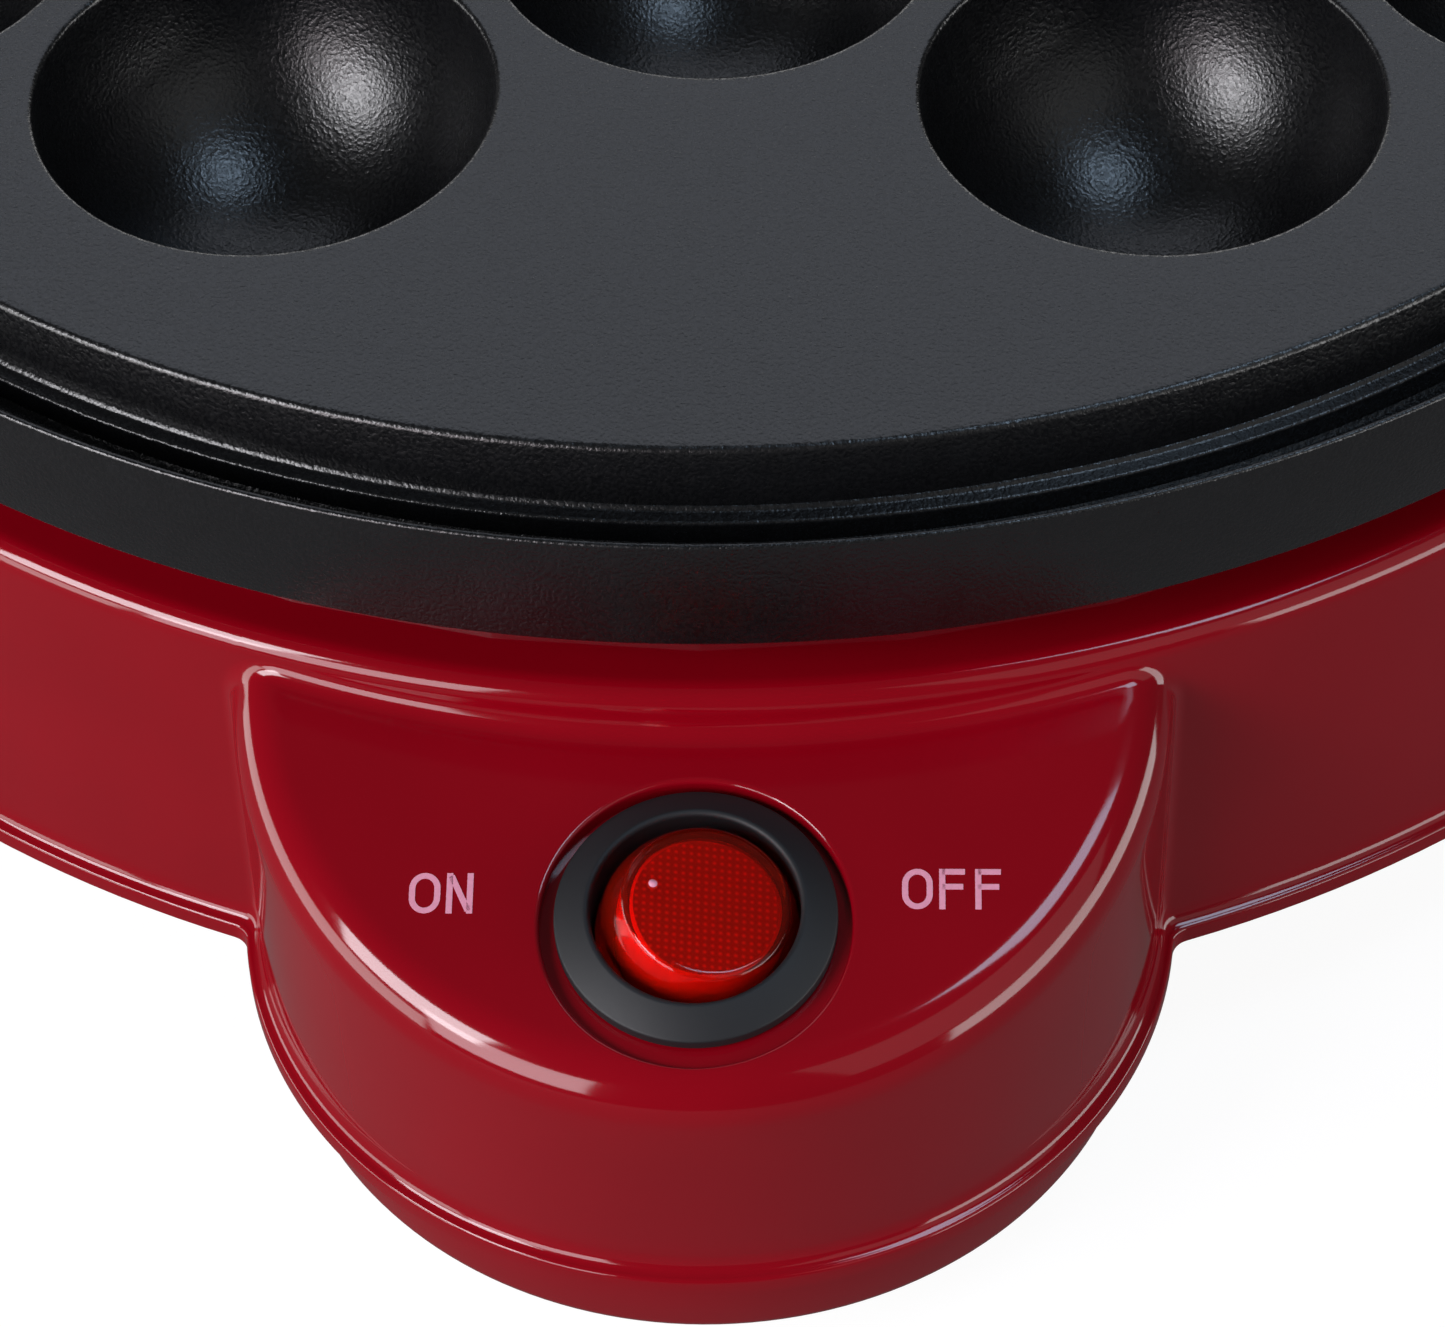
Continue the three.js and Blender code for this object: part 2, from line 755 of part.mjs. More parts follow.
function thermostatBracket() {
  const floor = panLevel + seatGap;
  const saddle = sensorTop - sensorHeight - seatGap;
  const outline = new THREE.Shape();
  outline.moveTo(0, floor);
  outline.lineTo(stripFoot, floor);
  outline.lineTo(stripFoot, floor + stripThickness);
  outline.lineTo(stripThickness, floor + stripThickness);
  outline.lineTo(stripThickness, saddle);
  outline.lineTo(-sensorRadius, saddle);
  outline.lineTo(-sensorRadius, saddle - stripThickness);
  outline.lineTo(0, saddle - stripThickness);
  outline.closePath();
  return plateOf(outline, stripWidth).rotateX(Math.PI / 2).rotateZ(Math.PI / 2);
}

const fuseLevel = panLevel + 2 * seatGap + stripThickness + fuseRadius;

function thermalFuse() {
  return rod(fuseRadius, -fuseLength / 2, fuseLength / 2, tinySteps).rotateY(Math.PI / 2);
}

// A strap over the fuse with one foot on the pan's floor.
function fuseClip() {
  const inner = fuseRadius + seatGap;
  const outer = inner + stripThickness;
  const drop = fuseLevel - panLevel - seatGap;
  const outline = new THREE.Shape();
  outline.moveTo(-inner, -drop);
  outline.lineTo(-inner, 0);
  outline.absarc(0, 0, inner, Math.PI, 0, true);
  outline.lineTo(inner, -drop + stripThickness);
  outline.lineTo(inner, -drop);
  outline.lineTo(outer + stripFoot / 2, -drop);
  outline.lineTo(outer + stripFoot / 2, -drop + stripThickness);
  outline.lineTo(outer, -drop + stripThickness);
  outline.lineTo(outer, 0);
  outline.absarc(0, 0, outer, 0, Math.PI, false);
  outline.lineTo(-outer, -drop);
  outline.closePath();
  return plateOf(outline, stripWidth / 2).rotateX(Math.PI / 2).rotateZ(Math.PI / 2);
}

// Wiring

function terminalBlock() {
  const bottom = trayFloor + blockRise + seatGap;
  const top = bottom + blockHeight;
  const wayStep = blockWidth / 3;
  const way = rod(leadRadius + seatGap, -blockDepth, -blockDepth * wayShare, tinySteps).rotateX(-Math.PI / 2);
  const ways = [-1, 0, 1].map((place) => placed(way, place * wayStep, 0, (bottom + top) / 2));
  const grip = rod(screwHead, top - screwHeadHeight, top + overrun, tinySteps);
  const grips = [-1, 1].map((place) => placed(grip, place * wayStep, 0));
  const fixing = rod(screwRadius + seatGap, bottom - overrun, top + overrun, tinySteps);
  const recess = rod(screwHead + seatGap, bottom + blockSeat, top + overrun, tinySteps);
  return cut(block(blockWidth, blockDepth, bottom, top), ...ways, ...grips, fixing, recess);
}

function cordGland() {
  const rise = (-glandDrop - glandCollar - footLevel) / casingHeight;
  const collarFace = casingFoot - rise * casingDraft + seatGap;
  const wallInside = collarFace - casingWall - glandLean;
  const bush = turned([
    [glandBore, wallInside - glandTail],
    [glandRadius, wallInside - glandTail],
    [glandRadius + glandBarb, wallInside],
    [glandRadius, wallInside],
    [glandRadius, collarFace],
    [glandCollar, collarFace],
    [glandCollar, collarFace + glandCollarDepth / 2],
    [glandCollar - glandCollarDepth / 2, collarFace + glandCollarDepth],
    [glandBore, collarFace + glandCollarDepth],
  ], smallSteps);
  return bush.rotateX(-Math.PI / 2).translate(0, 0, -glandDrop);
}

function cordClamp() {
  const bottom = trayFloor + clampRise + seatGap;
  const top = bottom + clampHeight;
  const channel = rod(glandBore, -clampDepth, clampDepth, tinySteps).rotateX(Math.PI / 2);
  const hole = rod(screwRadius + seatGap, bottom - overrun, top + overrun, tinySteps);
  const holes = [placed(hole, clampSpread, 0), placed(hole, -clampSpread, 0)];
  return cut(block(clampWidth, clampDepth, bottom, top), placed(channel, 0, 0, bottom), ...holes);
}

function earthTag() {
  const top = panLevel - panThickness - seatGap;
  const tag = block(earthWidth, earthLength, top - tabThickness, top);
  const tail = block(tabWidth, tabThickness, top - tabLength, top - tabThickness / 2);
  return join(tag, tail.translate(0, -earthLength / 2 + tabThickness, 0));
}

// Rocker switch, in its seat's frame

const bezelTop = seatGap + bezelHeight;
const pivotLevel = bezelTop - pivotDepth;
const barrelEnd = seatGap - barrelDepth;
const barrelBase = barrelEnd + barrelFloor;

function switchHousing() {
  const body = turned([
    [0, barrelEnd],
    [barrelRadius, barrelEnd],
    [barrelRadius, seatGap],
    [bezelRadius, seatGap],
    [bezelRadius, bezelTop - bezelRound],
    [bezelRadius - bezelRound, bezelTop],
    [bezelBore, bezelTop],
    [bezelBore, barrelBase],
    [0, barrelBase],
  ], switchSteps);
  const reach = bezelBore + pinLength + pinClearance;
  const pivots = rod(pinRadius + pinClearance, -reach, reach, tinySteps).rotateX(Math.PI / 2);
  const slotWidth = bladeThickness + 2 * seatGap;
  const slot = block(slotWidth, bladeWidth + 2 * seatGap, barrelEnd - overrun, barrelBase + overrun);
  const slots = [-1, 0, 1].map((place) => placed(slot, place * bladeSpread, 0));
  return cut(body, placed(pivots, 0, 0, pivotLevel), ...slots);
}

// Heights below are measured from the rocker's pivot.
function switchRocker() {
  const shell = turned([
    [rockerRadius - rockerShell, -rockerSkirt],
    [rockerRadius, -rockerSkirt],
    [rockerRadius, pivotDepth],
    [rockerTop + rockerRound / 4, rockerCrown - rockerRound],
    ...arc(rockerTop - rockerRound, rockerCrown - rockerRound, rockerRound, Math.PI / 8, Math.PI / 2, 3),
    [0, rockerCrown],
    [0, rockerCrown - rockerShell],
    [rockerRadius - rockerShell, rockerCrown - rockerShell],
  ], switchSteps);
  const reach = bezelBore + pinLength;
  const pins = rod(pinRadius, -reach, reach, tinySteps).rotateX(Math.PI / 2);
  const gap = rod(rockerRadius - rockerShell, -overrun, rockerCrown - rockerShell, smallSteps);
  const bore = plungerRadius + plungerClearance;
  const stem = sleeve(bore, stemRadius, -stemLength, rockerCrown - rockerShell / 2, tinySteps);
  return join(shell, cut(pins, gap), stem);
}

function rockerPlunger() {
  return turned([
    ...arc(0, plungerTip + plungerRadius, plungerRadius, -Math.PI / 2, 0, 2),
    [plungerRadius, plungerTop],
    [0, plungerTop],
  ], tinySteps);
}

const leverSeat = barrelBase + bladeThickness + seatGap;
const plungerTip = leverSeat + leverThickness + seatGap - pivotLevel;
const plungerTop = plungerTip + 2 * plungerRadius + plungerReach;

function plungerSpring() {
  const bottom = plungerTop + springWire + seatGap;
  const length = rockerCrown - rockerShell - springWire - seatGap - bottom;
  const turns = springCurls * curlSteps;
  const points = Array.from({ length: turns + 1 }, (_, i) => {
    const angle = (2 * Math.PI * i) / curlSteps;
    return [springRadius * Math.cos(angle), springRadius * Math.sin(angle), bottom + (length * i) / turns];
  });
  return tube(points, springWire, turns, 4);
}

// The brass see-saw that the plunger tips from side to side: a shallow vee that rocks on its middle.
function contactLever() {
  const half = leverLength / 2;
  const outline = new THREE.Shape();
  outline.moveTo(-half, leverRise);
  outline.lineTo(0, 0);
  outline.lineTo(half, leverRise);
  outline.lineTo(half, leverRise + leverThickness);
  outline.lineTo(0, leverThickness);
  outline.lineTo(-half, leverRise + leverThickness);
  outline.closePath();
  return plateOf(outline, leverWidth).rotateX(Math.PI / 2);
}

function switchTerminal(rise) {
  const top = barrelBase + rise;
  return block(bladeThickness, bladeWidth, barrelEnd - bladeLength, top);
}

function neonLamp() {
  const half = lampLength / 2;
  const glass = [...arc(0, half, lampRadius, 0, Math.PI / 2, 3)];
  return turned([[0, -half], [lampRadius, -half], ...glass], tinySteps).rotateX(-Math.PI / 2);
}

// Finishes: colour, roughness and metalness

const finishes = {
  coating: [0x26282b, 0.55, 0.1],
  crimson: [0x8c0a18, 0.2, 0],
  steel: [0xb4b6b8, 0.35, 1],
  aluminised: [0xa9acae, 0.45, 1],
  sheath: [0x5c6258, 0.5, 0.9],
  ceramic: [0xe9e4d8, 0.6, 0],
  rubber: [0x1a1a1b, 0.9, 0],
  slate: [0x26292b, 0.5, 0],
  lens: [0xd21f0c, 0.15, 0],
  brass: [0xc9a24a, 0.3, 1],
  glass: [0xf1b48a, 0.1, 0],
  nylon: [0xdedad0, 0.6, 0],
  brown: [0x5a3420, 0.5, 0],
  blue: [0x2a4d94, 0.5, 0],
  white: [0xe6e4de, 0.5, 0],
  green: [0x3f7c33, 0.5, 0],
};

function add(parent, name, geometry, finish) {
  const [color, roughness, metalness] = finishes[finish];
  const material = new THREE.MeshStandardMaterial({ color, roughness, metalness });
  const mesh = new THREE.Mesh(geometry, material);
  mesh.name = name;
  parent.add(mesh);
  return mesh;
}

// Assembly

const takoyakiMaker = new THREE.Group();
const deck = new THREE.Group();
const reachFront = consoleCentre + consoleRadius + lipWidth;
deck.position.set(0, (reachFront - lipRadius) / 2, -groundLevel);
takoyakiMaker.add(deck);

add(deck, "cooking_plate", cookingPlate(), "coating");
add(deck, "reflector_pan", reflectorPan(), "aluminised");
add(deck, "upper_casing", upperCasing(), "crimson");
add(deck, "lower_tray", lowerTray(), "crimson");
add(deck, "heating_element", heatingElement(), "sheath");

const spacerBottom = brimLevel + panThickness + seatGap;
const plateScrewSeat = casingCeiling - seatGap;
bossPlaces.forEach(({ x, y }, i) => {
  const spacer = sleeve(plateScrewRadius + seatGap, bossRadius, spacerBottom, -bossDepth - seatGap);
  const tip = -bossDepth + plateScrewBite;
  const fixing = screw(plateScrewRadius, plateScrewHead, screwHeadHeight, plateScrewSeat, tip);
  add(deck, `plate_spacer_${i + 1}`, spacer, "steel").position.set(x, y, 0);
  add(deck, `plate_screw_${i + 1}`, fixing, "steel").position.set(x, y, 0);
});

postPlaces.forEach(({ x, y }, i) => {
  const seat = mouthLevel - 2 * seatGap;
  const fixing = screw(screwRadius, screwHead, screwHeadHeight, seat, trayTop + screwBite);
  add(deck, `casing_screw_${i + 1}`, fixing, "steel").position.set(x, y, 0);
});

footPlaces.forEach(({ x, y }, i) => {
  add(deck, `foot_${i + 1}`, foot(), "rubber").position.set(x, y, 0);
});

[["left", -1], ["right", 1]].forEach(([side, sign]) => {
  add(deck, `element_insulator_${side}`, bead(), "ceramic").position.set(sign * coldSpread, -coldReach, 0);
});

around(3, elementRadius, Math.PI / 2).forEach(({ x, y, angle }, i) => {
  const clip = add(deck, `element_clip_${i + 1}`, elementClip(), "steel");
  clip.position.set(x, y, 0);
  clip.rotation.z = angle + Math.PI;
});

add(deck, "thermostat", thermostat(), "ceramic").position.set(0, -sensorSetback, 0);
add(deck, "thermostat_bracket", thermostatBracket(), "steel").position.set(0, -sensorSetback, 0);
add(deck, "thermal_fuse", thermalFuse(), "steel").position.set(fuseSide, -fuseSetback, fuseLevel);
add(deck, "fuse_clip", fuseClip(), "steel").position.set(fuseSide, -fuseSetback, fuseLevel);

add(deck, "terminal_block", terminalBlock(), "nylon").position.set(0, blockBack, 0);
const blockScrewSeat = trayFloor + blockRise + blockSeat + 2 * seatGap;
const blockScrew = screw(screwRadius, screwHead, screwHeadHeight, -blockScrewSeat, -trayFloor - seatGap);
add(deck, "terminal_block_screw", blockScrew.rotateX(Math.PI), "steel").position.set(0, blockBack, 0);
add(deck, "cord_gland", cordGland(), "rubber");
add(deck, "cord_clamp", cordClamp(), "nylon").position.set(0, clampBack, 0);
clampPlaces.forEach(({ x, y }, i) => {
  const seat = trayFloor + clampRise + clampHeight + 2 * seatGap;
  const fixing = screw(screwRadius, screwHead, screwHeadHeight, -seat, -trayFloor - trayWall);
  add(deck, `cord_clamp_screw_${i + 1}`, fixing.rotateX(Math.PI), "steel").position.set(x, y, 0);
});
add(deck, "earth_tag", earthTag(), "brass").position.set(0, elementRadius / 2, 0);

const switchGroup = switchFrame();
deck.add(switchGroup);
add(switchGroup, "switch_housing", switchHousing(), "slate");
const rockerGroup = new THREE.Group();
rockerGroup.position.z = pivotLevel;
rockerGroup.rotation.y = rockerTilt;
switchGroup.add(rockerGroup);
add(rockerGroup, "switch_rocker", switchRocker(), "lens");
add(rockerGroup, "rocker_plunger", rockerPlunger(), "steel");
add(rockerGroup, "plunger_spring", plungerSpring(), "steel");
const lever = add(switchGroup, "contact_lever", contactLever(), "brass");
lever.position.z = leverSeat;
lever.rotation.y = -leverTilt;
[-1, 0, 1].forEach((place, i) => {
  const rise = place === 0 ? bladeThickness : -seatGap;
  const terminal = add(switchGroup, `switch_terminal_${i + 1}`, switchTerminal(rise), "brass");
  terminal.position.x = place * bladeSpread;
});
const lamp = add(switchGroup, "neon_lamp", neonLamp(), "glass");
lamp.position.set(0, lampSide, barrelBase + lampRadius + seatGap);

export default takoyakiMaker;
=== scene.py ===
"""Looks of a takoyaki maker: a coated plate of hollows on a glossy crimson casing with a rocker switch."""

import json
import logging
import math
from dataclasses import dataclass, field
from enum import Enum
from typing import Any, Callable, Iterable, Sequence

import bmesh
import bpy
from mathutils import Matrix, Vector

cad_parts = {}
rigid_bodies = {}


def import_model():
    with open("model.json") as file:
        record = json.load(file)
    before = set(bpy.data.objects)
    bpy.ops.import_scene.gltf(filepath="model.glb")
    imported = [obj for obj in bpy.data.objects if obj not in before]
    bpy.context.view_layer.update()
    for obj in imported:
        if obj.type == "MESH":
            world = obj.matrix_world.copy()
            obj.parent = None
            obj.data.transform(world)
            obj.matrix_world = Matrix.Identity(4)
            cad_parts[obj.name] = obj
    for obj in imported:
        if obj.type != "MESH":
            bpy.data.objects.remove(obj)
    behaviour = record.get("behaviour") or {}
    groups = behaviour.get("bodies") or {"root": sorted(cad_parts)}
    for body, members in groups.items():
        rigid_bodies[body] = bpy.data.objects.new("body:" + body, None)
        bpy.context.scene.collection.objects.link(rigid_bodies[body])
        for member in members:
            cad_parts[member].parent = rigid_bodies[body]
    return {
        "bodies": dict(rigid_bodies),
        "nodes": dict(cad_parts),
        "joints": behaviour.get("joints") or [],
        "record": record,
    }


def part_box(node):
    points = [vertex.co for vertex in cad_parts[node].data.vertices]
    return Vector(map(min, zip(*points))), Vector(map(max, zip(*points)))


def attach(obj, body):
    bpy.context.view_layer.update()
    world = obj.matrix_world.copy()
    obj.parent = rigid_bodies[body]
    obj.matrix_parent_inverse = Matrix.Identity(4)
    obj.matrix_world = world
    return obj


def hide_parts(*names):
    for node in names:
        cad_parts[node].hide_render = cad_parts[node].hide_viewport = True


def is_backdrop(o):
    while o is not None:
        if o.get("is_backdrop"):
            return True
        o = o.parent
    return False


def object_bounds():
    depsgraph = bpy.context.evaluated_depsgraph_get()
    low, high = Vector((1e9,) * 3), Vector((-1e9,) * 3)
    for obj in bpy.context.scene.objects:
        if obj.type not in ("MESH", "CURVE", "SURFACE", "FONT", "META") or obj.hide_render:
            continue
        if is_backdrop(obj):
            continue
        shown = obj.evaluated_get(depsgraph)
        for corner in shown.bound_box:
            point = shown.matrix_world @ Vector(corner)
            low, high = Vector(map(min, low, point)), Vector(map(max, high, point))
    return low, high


# Sizes are in millimetres and angles in degrees, unless a docstring names metres or radians.
MM = 0.001
WELD = 0.000002
TINY = 1e-9
SMOOTH_BEND = 40.0
DIAGONALS = [math.radians(45 + 90 * quarter) for quarter in range(4)]
ORIGIN = Vector((0, 0, 0))

log = logging.getLogger("takoyaki_maker")

Flat = tuple[float, float]
Point = tuple[float, float, float]
Colour = tuple[float, float, float, float]
Profile = list[Flat]
Pair = tuple[Vector, Vector]
Triple = tuple[Vector, Vector, Vector]


class Body(Enum):
    """The frame's bodies that the scene's own pieces move with."""

    BASE = "base"
    ROCKER = "rocker"


class Slot(Enum):
    """The record's material slots that the scene's own pieces are listed with."""

    COATING = "plate_coating"
    CRIMSON = "casing_red"
    SLATE = "switch_slate"
    LENS = "rocker_lens"
    RUBBER = "black_rubber"
    STEEL = "bright_steel"


# Shared tools


def linear(colour: str) -> Colour:
    """Turns an sRGB hex colour into the linear values that shaders take.

    Args:
        colour: six hex digits, with or without a leading hash.

    Returns:
        Red, green, blue and an alpha of one.
    """
    digits = colour.lstrip("#")
    shares = [int(digits[i : i + 2], 16) / 255 for i in (0, 2, 4)]
    red, green, blue = [s / 12.92 if s <= 0.04045 else ((s + 0.055) / 1.055) ** 2.4 for s in shares]
    return (red, green, blue, 1.0)


def dimmed(colour: str, share: float) -> Colour:
    """Gives a colour's linear values at a share of their strength, with an alpha of one."""
    red, green, blue, _ = linear(colour)
    return (red * share, green * share, blue * share, 1.0)


def add_node(
    tree: bpy.types.NodeTree,
    kind: str,
    settings: dict[str, Any] | None = None,
    sockets: dict[Any, Any] | None = None,
    links: dict[Any, Any] | None = None,
) -> bpy.types.Node:
    """Adds one node with its settings, socket values and incoming links.

    Args:
        tree: the node tree that gets the node.
        kind: the node's type name.
        settings: attributes of the node itself.
        sockets: values of unlinked input sockets, by name or number.
        links: output sockets to link to the node's inputs, by name or number.

    Returns:
        The new node.
    """
    made = tree.nodes.new(kind)
    for name, value in (settings or {}).items():
        setattr(made, name, value)
    for name, value in (sockets or {}).items():
        made.inputs[name].default_value = value
    for name, output in (links or {}).items():
        tree.links.new(output, made.inputs[name])
    return made


def new_material(name: str) -> tuple[bpy.types.Material, bpy.types.NodeTree, bpy.types.Node]:
    """Makes a material with an empty Principled shader.

    Args:
        name: the material's name.

    Returns:
        The material, its node tree and the shader node.
    """
    material = bpy.data.materials.new(name)
    material.use_nodes = True
    tree = material.node_tree
    tree.nodes.clear()
    shader = add_node(tree, "ShaderNodeBsdfPrincipled")
    add_node(tree, "ShaderNodeOutputMaterial", links={"Surface": shader.outputs["BSDF"]})
    return material, tree, shader


def grain(tree: bpy.types.NodeTree, size_mm: float, detail: float) -> bpy.types.NodeSocket:
    """Adds a noise pattern on object coordinates whose features have a real size.

    Args:
        tree: the node tree that gets the pattern.
        size_mm: the distance between features in millimetres.
        detail: how many finer layers the noise has.

    Returns:
        The socket that carries the pattern.
    """
    place = add_node(tree, "ShaderNodeTexCoord").outputs["Object"]
    sockets = {"Scale": 1 / (size_mm * MM), "Detail": detail}
    return add_node(tree, "ShaderNodeTexNoise", sockets=sockets, links={"Vector": place}).outputs["Fac"]


def maths(
    tree: bpy.types.NodeTree,
    operation: str,
    sockets: dict[int, float] | None = None,
    links: dict[int, bpy.types.NodeSocket] | None = None,
) -> bpy.types.NodeSocket:
    """Adds one math node.

    Args:
        tree: the node tree that gets the node.
        operation: what the node works out.
        sockets: numbers that it takes, by input.
        links: output sockets that it takes, by input.

    Returns:
        The socket that carries the result.
    """
    return add_node(tree, "ShaderNodeMath", {"operation": operation}, sockets, links).outputs["Value"]


def tint(
    tree: bpy.types.NodeTree,
    shader: bpy.types.Node,
    pattern: bpy.types.NodeSocket,
    low: Colour,
    high: Colour,
) -> None:
    """Colours a shader by a pattern.

    Args:
        tree: the shader's node tree.
        shader: the shader node.
        pattern: the socket that carries the pattern.
        low: the colour where the pattern is 0.
        high: the colour where it is 1.
    """
    tone = add_node(tree, "ShaderNodeMix", {"data_type": "RGBA"}, {"A": low, "B": high}, {"Factor": pattern})
    tree.links.new(tone.outputs["Result"], shader.inputs["Base Color"])


def roughen(
    tree: bpy.types.NodeTree,
    shader: bpy.types.Node,
    pattern: bpy.types.NodeSocket,
    low: float,
    high: float,
    ends: Flat = (0.0, 1.0),
) -> None:
    """Varies a shader's roughness by a pattern.

    Args:
        tree: the shader's node tree.
        shader: the shader node.
        pattern: the socket that carries the pattern.
        low: the roughness at the pattern's lower end.
        high: the roughness at its upper end.
        ends: the pattern's values at its two ends.
    """
    sockets = {"From Min": ends[0], "From Max": ends[1], "To Min": low, "To Max": high}
    rough = add_node(tree, "ShaderNodeMapRange", sockets=sockets, links={"Value": pattern})
    tree.links.new(rough.outputs["Result"], shader.inputs["Roughness"])


def emboss(
    tree: bpy.types.NodeTree,
    shader: bpy.types.Node,
    pattern: bpy.types.NodeSocket,
    strength: float,
    depth_mm: float,
) -> None:
    """Gives a shader's surface a relief by a pattern.

    Args:
        tree: the shader's node tree.
        shader: the shader node.
        pattern: the socket that carries the pattern.
        strength: how much of the relief counts, up to one.
        depth_mm: the relief's depth in millimetres.
    """
    sockets = {"Strength": strength, "Distance": depth_mm * MM}
    bump = add_node(tree, "ShaderNodeBump", sockets=sockets, links={"Height": pattern})
    tree.links.new(bump.outputs["Normal"], shader.inputs["Normal"])


def deselect() -> None:
    """Leaves edit mode if need be and deselects every object."""
    if bpy.context.object and bpy.context.object.mode != "OBJECT":
        bpy.ops.object.mode_set(mode="OBJECT")
    bpy.ops.object.select_all(action="DESELECT")


def activate(piece: bpy.types.Object) -> None:
    """Makes a piece the only selected object and the active one."""
    deselect()
    piece.select_set(True)
    bpy.context.view_layer.objects.active = piece


def arc(centre: Flat, radius: float, start: float, end: float, steps: int) -> Profile:
    """Gives the points of an arc in a profile.

    Args:
        centre: the arc's centre as radius and height.
        radius: the arc's radius.
        start: the first angle in degrees.
        end: the last angle in degrees.
        steps: how many chords the arc has.

    Returns:
        The points from start to end, both included.
    """
    angles = [math.radians(start + (end - start) * i / steps) for i in range(steps + 1)]
    return [(centre[0] + radius * math.cos(a), centre[1] + radius * math.sin(a)) for a in angles]


def tidy(piece: bpy.types.Object, angle: float = 32.0) -> bpy.types.Object:
    """Merges doubles, turns the faces outwards and shades smooth up to an angle.

    Args:
        piece: the object to tidy.
        angle: the sharpest bend in degrees that is still shaded smooth.

    Returns:
        The same object.
    """
    activate(piece)
    bpy.ops.object.mode_set(mode="EDIT")
    bpy.ops.mesh.select_all(action="SELECT")
    bpy.ops.mesh.remove_doubles(threshold=WELD)
    bpy.ops.mesh.dissolve_degenerate(threshold=WELD)
    bpy.ops.mesh.select_all(action="SELECT")
    bpy.ops.mesh.normals_make_consistent(inside=False)
    bpy.ops.object.mode_set(mode="OBJECT")
    bpy.ops.object.shade_smooth_by_angle(angle=math.radians(angle))
    return piece


def spun(name: str, profile: Profile, steps: int, centre: Vector) -> bpy.types.Object:
    """Draws a profile point by point and spins it round an upright axis.

    Args:
        name: the new object's name.
        profile: radius and height of each point in millimetres.
        steps: how many steps the full turn has.
        centre: the axis's place and the height zero, in metres.

    Returns:
        The spun mesh object.
    """
    deselect()
    points = [centre + Vector((radius * MM, 0, height * MM)) for radius, height in profile]
    bpy.ops.mesh.primitive_plane_add(size=MM, location=points[0])
    piece = bpy.context.active_object
    piece.name = name
    bpy.ops.object.mode_set(mode="EDIT")
    bpy.ops.mesh.merge(type="CENTER")
    for before, after in zip(points, points[1:]):
        bpy.ops.mesh.extrude_region_move(TRANSFORM_OT_translate={"value": after - before})
    bpy.ops.mesh.select_all(action="SELECT")
    bpy.ops.mesh.spin(steps=steps, angle=2 * math.pi, center=centre, axis=(0, 0, 1))
    bpy.ops.object.mode_set(mode="OBJECT")
    settle(piece)
    return piece


def settle(piece: bpy.types.Object) -> None:
    """Puts a piece's place, turn and scale into its mesh."""
    activate(piece)
    bpy.ops.object.transform_apply(location=True, rotation=True, scale=True)


def sheet(name: str, rows: Sequence[Sequence[Vector]], closed: bool = False) -> bpy.types.Object:
    """Adds a grid and sets its vertices on the rows of a surface.

    Args:
        name: the new object's name.
        rows: equally long rows of points in metres.
        closed: True if each row's end joins its start.

    Returns:
        The mesh object.
    """
    full = [list(row) + ([row[0]] if closed else []) for row in rows]
    across, up = len(full[0]) - 1, len(full) - 1
    deselect()
    bpy.ops.mesh.primitive_grid_add(x_subdivisions=across, y_subdivisions=up, size=1)
    piece = bpy.context.active_object
    piece.name = name
    for vertex in piece.data.vertices:
        i = round((vertex.co.x + 0.5) * across)
        j = round((vertex.co.y + 0.5) * up)
        vertex.co = full[j][i]
    return piece


def joined(name: str, pieces: Sequence[bpy.types.Object]) -> bpy.types.Object:
    """Joins several mesh objects into one.

    Args:
        name: the joined object's name.
        pieces: the objects, of which the first one is kept.

    Returns:
        The joined object.
    """
    activate(pieces[0])
    for piece in pieces:
        piece.select_set(True)
    bpy.ops.object.join()
    pieces[0].name = name
    return pieces[0]


def copied(piece: bpy.types.Object, shift: Vector) -> bpy.types.Object:
    """Copies a piece with its own mesh and moves the copy's mesh.

    Args:
        piece: the piece to copy.
        shift: how far the copy is moved, in metres.

    Returns:
        The copy.
    """
    copy = piece.copy()
    copy.data = piece.data.copy()
    bpy.context.scene.collection.objects.link(copy)
    copy.data.transform(Matrix.Translation(shift))
    return copy


def filled(piece: bpy.types.Object, picks: Callable[[bmesh.types.BMEdge], bool]) -> None:
    """Fills the flat region inside the open edges that a test picks, holes left out.

    Args:
        piece: the object whose edges bound the region.
        picks: says of an open edge whether it bounds the region.
    """
    activate(piece)
    bpy.ops.object.mode_set(mode="EDIT")
    bpy.ops.mesh.select_mode(type="EDGE")
    bpy.ops.mesh.select_all(action="SELECT")
    bpy.ops.mesh.remove_doubles(threshold=WELD)
    bpy.ops.mesh.select_all(action="DESELECT")
    mesh = bmesh.from_edit_mesh(piece.data)
    for edge in mesh.edges:
        edge.select_set(len(edge.link_faces) < 2 and picks(edge))
    bmesh.update_edit_mesh(piece.data)
    bpy.ops.mesh.fill(use_beauty=True)
    bpy.ops.mesh.select_mode(type="VERT")
    bpy.ops.object.mode_set(mode="OBJECT")


def capped(piece: bpy.types.Object, *levels: float) -> None:
    """Fills the flat regions inside a piece's open edges at some heights, given in metres."""
    for level in levels:
        filled(piece, lambda edge, level=level: all(abs(v.co.z - level) < WELD for v in edge.verts))


def walled(piece: bpy.types.Object, thickness: float, offset: float) -> None:
    """Gives a skin its thickness.

    Args:
        piece: the skin.
        thickness: how thick it becomes.
        offset: -1 if it grows inwards, 0 if it grows to both sides.
    """
    activate(piece)
    wall = piece.modifiers.new("wall", "SOLIDIFY")
    wall.thickness, wall.offset = thickness * MM, offset
    bpy.ops.object.modifier_apply(modifier=wall.name)


